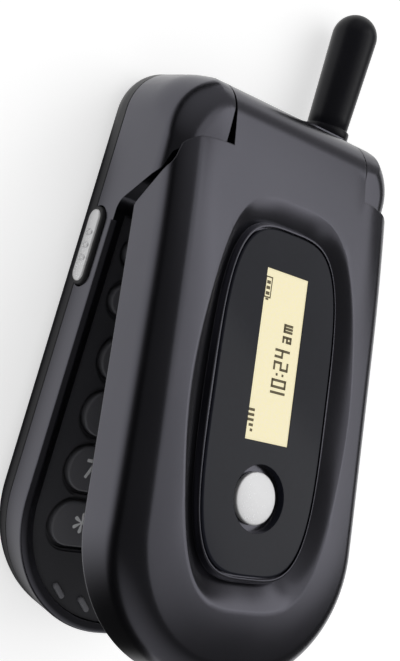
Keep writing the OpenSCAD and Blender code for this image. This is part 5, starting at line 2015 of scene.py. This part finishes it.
@dataclass
class Studio:
    """Floor, soft lamps and camera."""

    eye: Colour = (-0.109262, 0.010214, 0.148570)
    right: Colour = (0.77025, 0.2924, 0.56677)
    up: Colour = (-0.22491, 0.95615, -0.18762)
    back: Colour = (-0.59677, 0.01705, 0.80223)
    focal_pixels: float = 1062.42
    shift: Point = (0.04539, -0.01195)
    picture_height: int = 661
    lamps: Sequence[tuple[str, Colour, float, Point, float]] = (
        ("front_panel", (0.68, 0.39, 0.62), 1.0, (0.44, 0.84), 1.35),
        ("overhead_panel", (0.36, 0.36, 0.86), 1.0, (0.52, 0.92), 0.95))
    sensor: float = 36.0
    backdrop: float = 0.55
    daylight: float = 0.45
    gloss_cut: float = 0.37
    end_glow_from: float = 0.35
    end_glow: float = 0.6
    core: Point = (0.002, 0.024)
    core_reach: float = 0.0213
    # painted shadow: band beside the phone across which the floor's glow in the gloss rises from dark
    painted_shadow_band: Point = (0.001, 0.006)
    far_band: Point = (0.028, 0.075)
    right_band: Point = (0.0, 0.03)
    free_band: Point = (-0.07, -0.03)

    def camera(self) -> None:
        """Sets the camera at the photograph's viewing angle."""
        data = bpy.data.cameras.new("camera")
        data.sensor_fit = "VERTICAL"
        data.sensor_height = self.sensor
        data.lens = self.sensor * self.focal_pixels / self.picture_height
        data.shift_x, data.shift_y = self.shift
        data.clip_start = 0.001
        data.clip_end = 20
        camera = bpy.data.objects.new("camera", data)
        turn = Matrix((self.right, self.up, self.back)).transposed().to_4x4()
        camera.matrix_world = Matrix.Translation(self.eye) @ turn
        bpy.context.scene.collection.objects.link(camera)
        bpy.context.scene.camera = camera

    def lamp(self, name: str, way: Colour, distance: float, size: Point, power: float) -> None:
        """Adds one soft oblong lamp that faces the phone.

        Args:
            name: Name of the lamp.
            way: Direction from the phone to the lamp.
            distance: Distance from the phone in metres.
            size: Height and width of the lamp in metres.
            power: Power in watts.
        """
        data = bpy.data.lights.new(name, "AREA")
        data.shape, data.energy = "RECTANGLE", power
        data.size_y, data.size = size
        lamp = bpy.data.objects.new(name, data)
        direction = Vector(way).normalized()
        lamp.location = direction * distance
        lamp.rotation_euler = direction.to_track_quat("Z", "Y").to_euler()
        bpy.context.scene.collection.objects.link(lamp)

    def floor(self) -> None:
        """Lays the pale floor that the phone lies on."""
        mesh = bpy.data.meshes.new("floor")
        side = 3.0
        mesh.from_pydata([(-side, -side, 0), (side, -side, 0), (side, side, 0), (-side, side, 0)],
                         [], [(0, 1, 2, 3)])
        floor = bpy.data.objects.new("floor", mesh)
        bpy.context.scene.collection.objects.link(floor)
        kit = Dresser("pale_floor")
        patches = kit.noise(3.0)
        kit.feed(kit.shader.inputs["Base Color"],
                 kit.blend(kit.spread(patches, 0, 1), (0.86, 0.86, 0.86), (0.9, 0.9, 0.9)))
        kit.shader.inputs["Roughness"].default_value = 0.9
        kit.shader.inputs["Specular IOR Level"].default_value = 0.0
        rays = {name: Signal(kit.tree, socket)
                for name, socket in kit.node("ShaderNodeLightPath").outputs.items()}
        white = kit.node("ShaderNodeEmission", sockets={"Color": (1, 1, 1, 1)})
        seen = rays["Is Camera Ray"] + rays["Is Transmission Ray"]
        kit.feed(white.inputs["Strength"], seen * self.backdrop)
        lit = kit.node("ShaderNodeAddShader")
        kit.tree.links.new(kit.shader.outputs[0], lit.inputs[0])
        kit.tree.links.new(white.outputs[0], lit.inputs[1])
        # glossy rays see the floor as a painted glow, a painted reflection that is dark beside the phone
        # as a painted contact shadow
        mirrored = kit.node("ShaderNodeEmission", sockets={
            "Color": kit.blend(self.sheen(kit), (0.02, 0.02, 0.02), (1, 1, 1))})
        both = kit.node("ShaderNodeMixShader")
        kit.feed(both.inputs[0], rays["Is Glossy Ray"])
        kit.tree.links.new(lit.outputs[0], both.inputs[1])
        kit.tree.links.new(mirrored.outputs[0], both.inputs[2])
        kit.tree.links.new(both.outputs[0], kit.output.inputs[0])
        mesh.materials.append(kit.material)

    def sheen(self, kit: Dresser) -> Signal:
        """How bright each place of the floor looks in the phone's gloss: a glow painted on the floor,
        dark close by as a painted contact shadow.

        Args:
            kit: The floor's tree.

        Returns:
            One beside the phone, and less close by, far off and beyond the free end.
        """
        axes = kit.node("ShaderNodeSeparateXYZ", sockets={0: kit.place}).outputs
        x, y = (Signal(kit.tree, axes[i]) for i in (0, 1))
        over_x, over_y = ((abs(v) - reach).at_least(0) for v, reach in zip((x, y), self.core))
        away = (over_x * over_x + over_y * over_y) ** 0.5 - self.core_reach
        # painted contact shadow: the glow is dark within a few millimetres of the phone
        near = self.ramp(kit, away, *self.painted_shadow_band)
        far = 1 - self.ramp(kit, away, *self.far_band)
        right = self.ramp(kit, x, *self.right_band)
        side = near * far * self.ramp(kit, y, *self.free_band)
        return side * (1 - right) + right * 0.9

    def ramp(self, kit: Dresser, value: Signal, low: float, high: float) -> Signal:
        """Smooth step of a value from nought to one between two limits."""
        made = kit.node("ShaderNodeMapRange", {"interpolation_type": "SMOOTHSTEP"},
                        {"Value": value, "From Min": low, "From Max": high})
        return Signal(kit.tree, made.outputs[0])

    def world(self) -> None:
        """Sets a world that the camera sees white, and that looks dim in the phone's gloss."""
        world = bpy.data.worlds.new("studio")
        world.use_nodes = True
        tree = world.node_tree
        tree.nodes.clear()
        out = tree.nodes.new("ShaderNodeOutputWorld")
        shade = tree.nodes.new("ShaderNodeBackground")
        rays = tree.nodes.new("ShaderNodeLightPath")
        seen = Signal(tree, rays.outputs["Is Camera Ray"])
        way = tree.nodes.new("ShaderNodeTexCoord").outputs["Generated"]
        axes = tree.nodes.new("ShaderNodeSeparateXYZ")
        tree.links.new(way, axes.inputs[0])
        ends = abs(Signal(tree, axes.outputs["Y"])).at_least(self.end_glow_from) - self.end_glow_from
        mirrored = self.gloss_cut - ends * self.end_glow
        glossy = Signal(tree, rays.outputs["Is Glossy Ray"])
        strength = seen * self.backdrop + self.daylight - glossy * mirrored
        shade.inputs["Color"].default_value = (1, 1, 1, 1)
        tree.links.new(strength.socket, shade.inputs["Strength"])
        tree.links.new(shade.outputs[0], out.inputs[0])
        bpy.context.scene.world = world

    def build(self) -> None:
        """Sets up the whole studio."""
        self.floor()
        self.world()
        for lamp in self.lamps:
            self.lamp(*lamp)
        self.camera()


# ---------------------------------------------------------------- whole phone


def main() -> None:
    """Builds the phone's pieces in order."""
    logging.basicConfig(level=logging.INFO, format="%(name)s %(message)s")
    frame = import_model()
    view = bpy.context.scene.view_settings
    view.view_transform = "Standard"
    Studio().build()
    repeater, legends = Repeater(), LegendMaker()
    forms = ShellForms()
    ends = EndFittings(repeater)
    keypad = Keypad(legends)
    BackHousing(repeater).build(forms, ends)
    FrontHousing().build(forms, ends, keypad)
    keypad.build()
    ends.build()
    Lid(repeater).build(forms)
    InnerParts().dress(frame["nodes"])


if __name__ == "__main__":
    main()
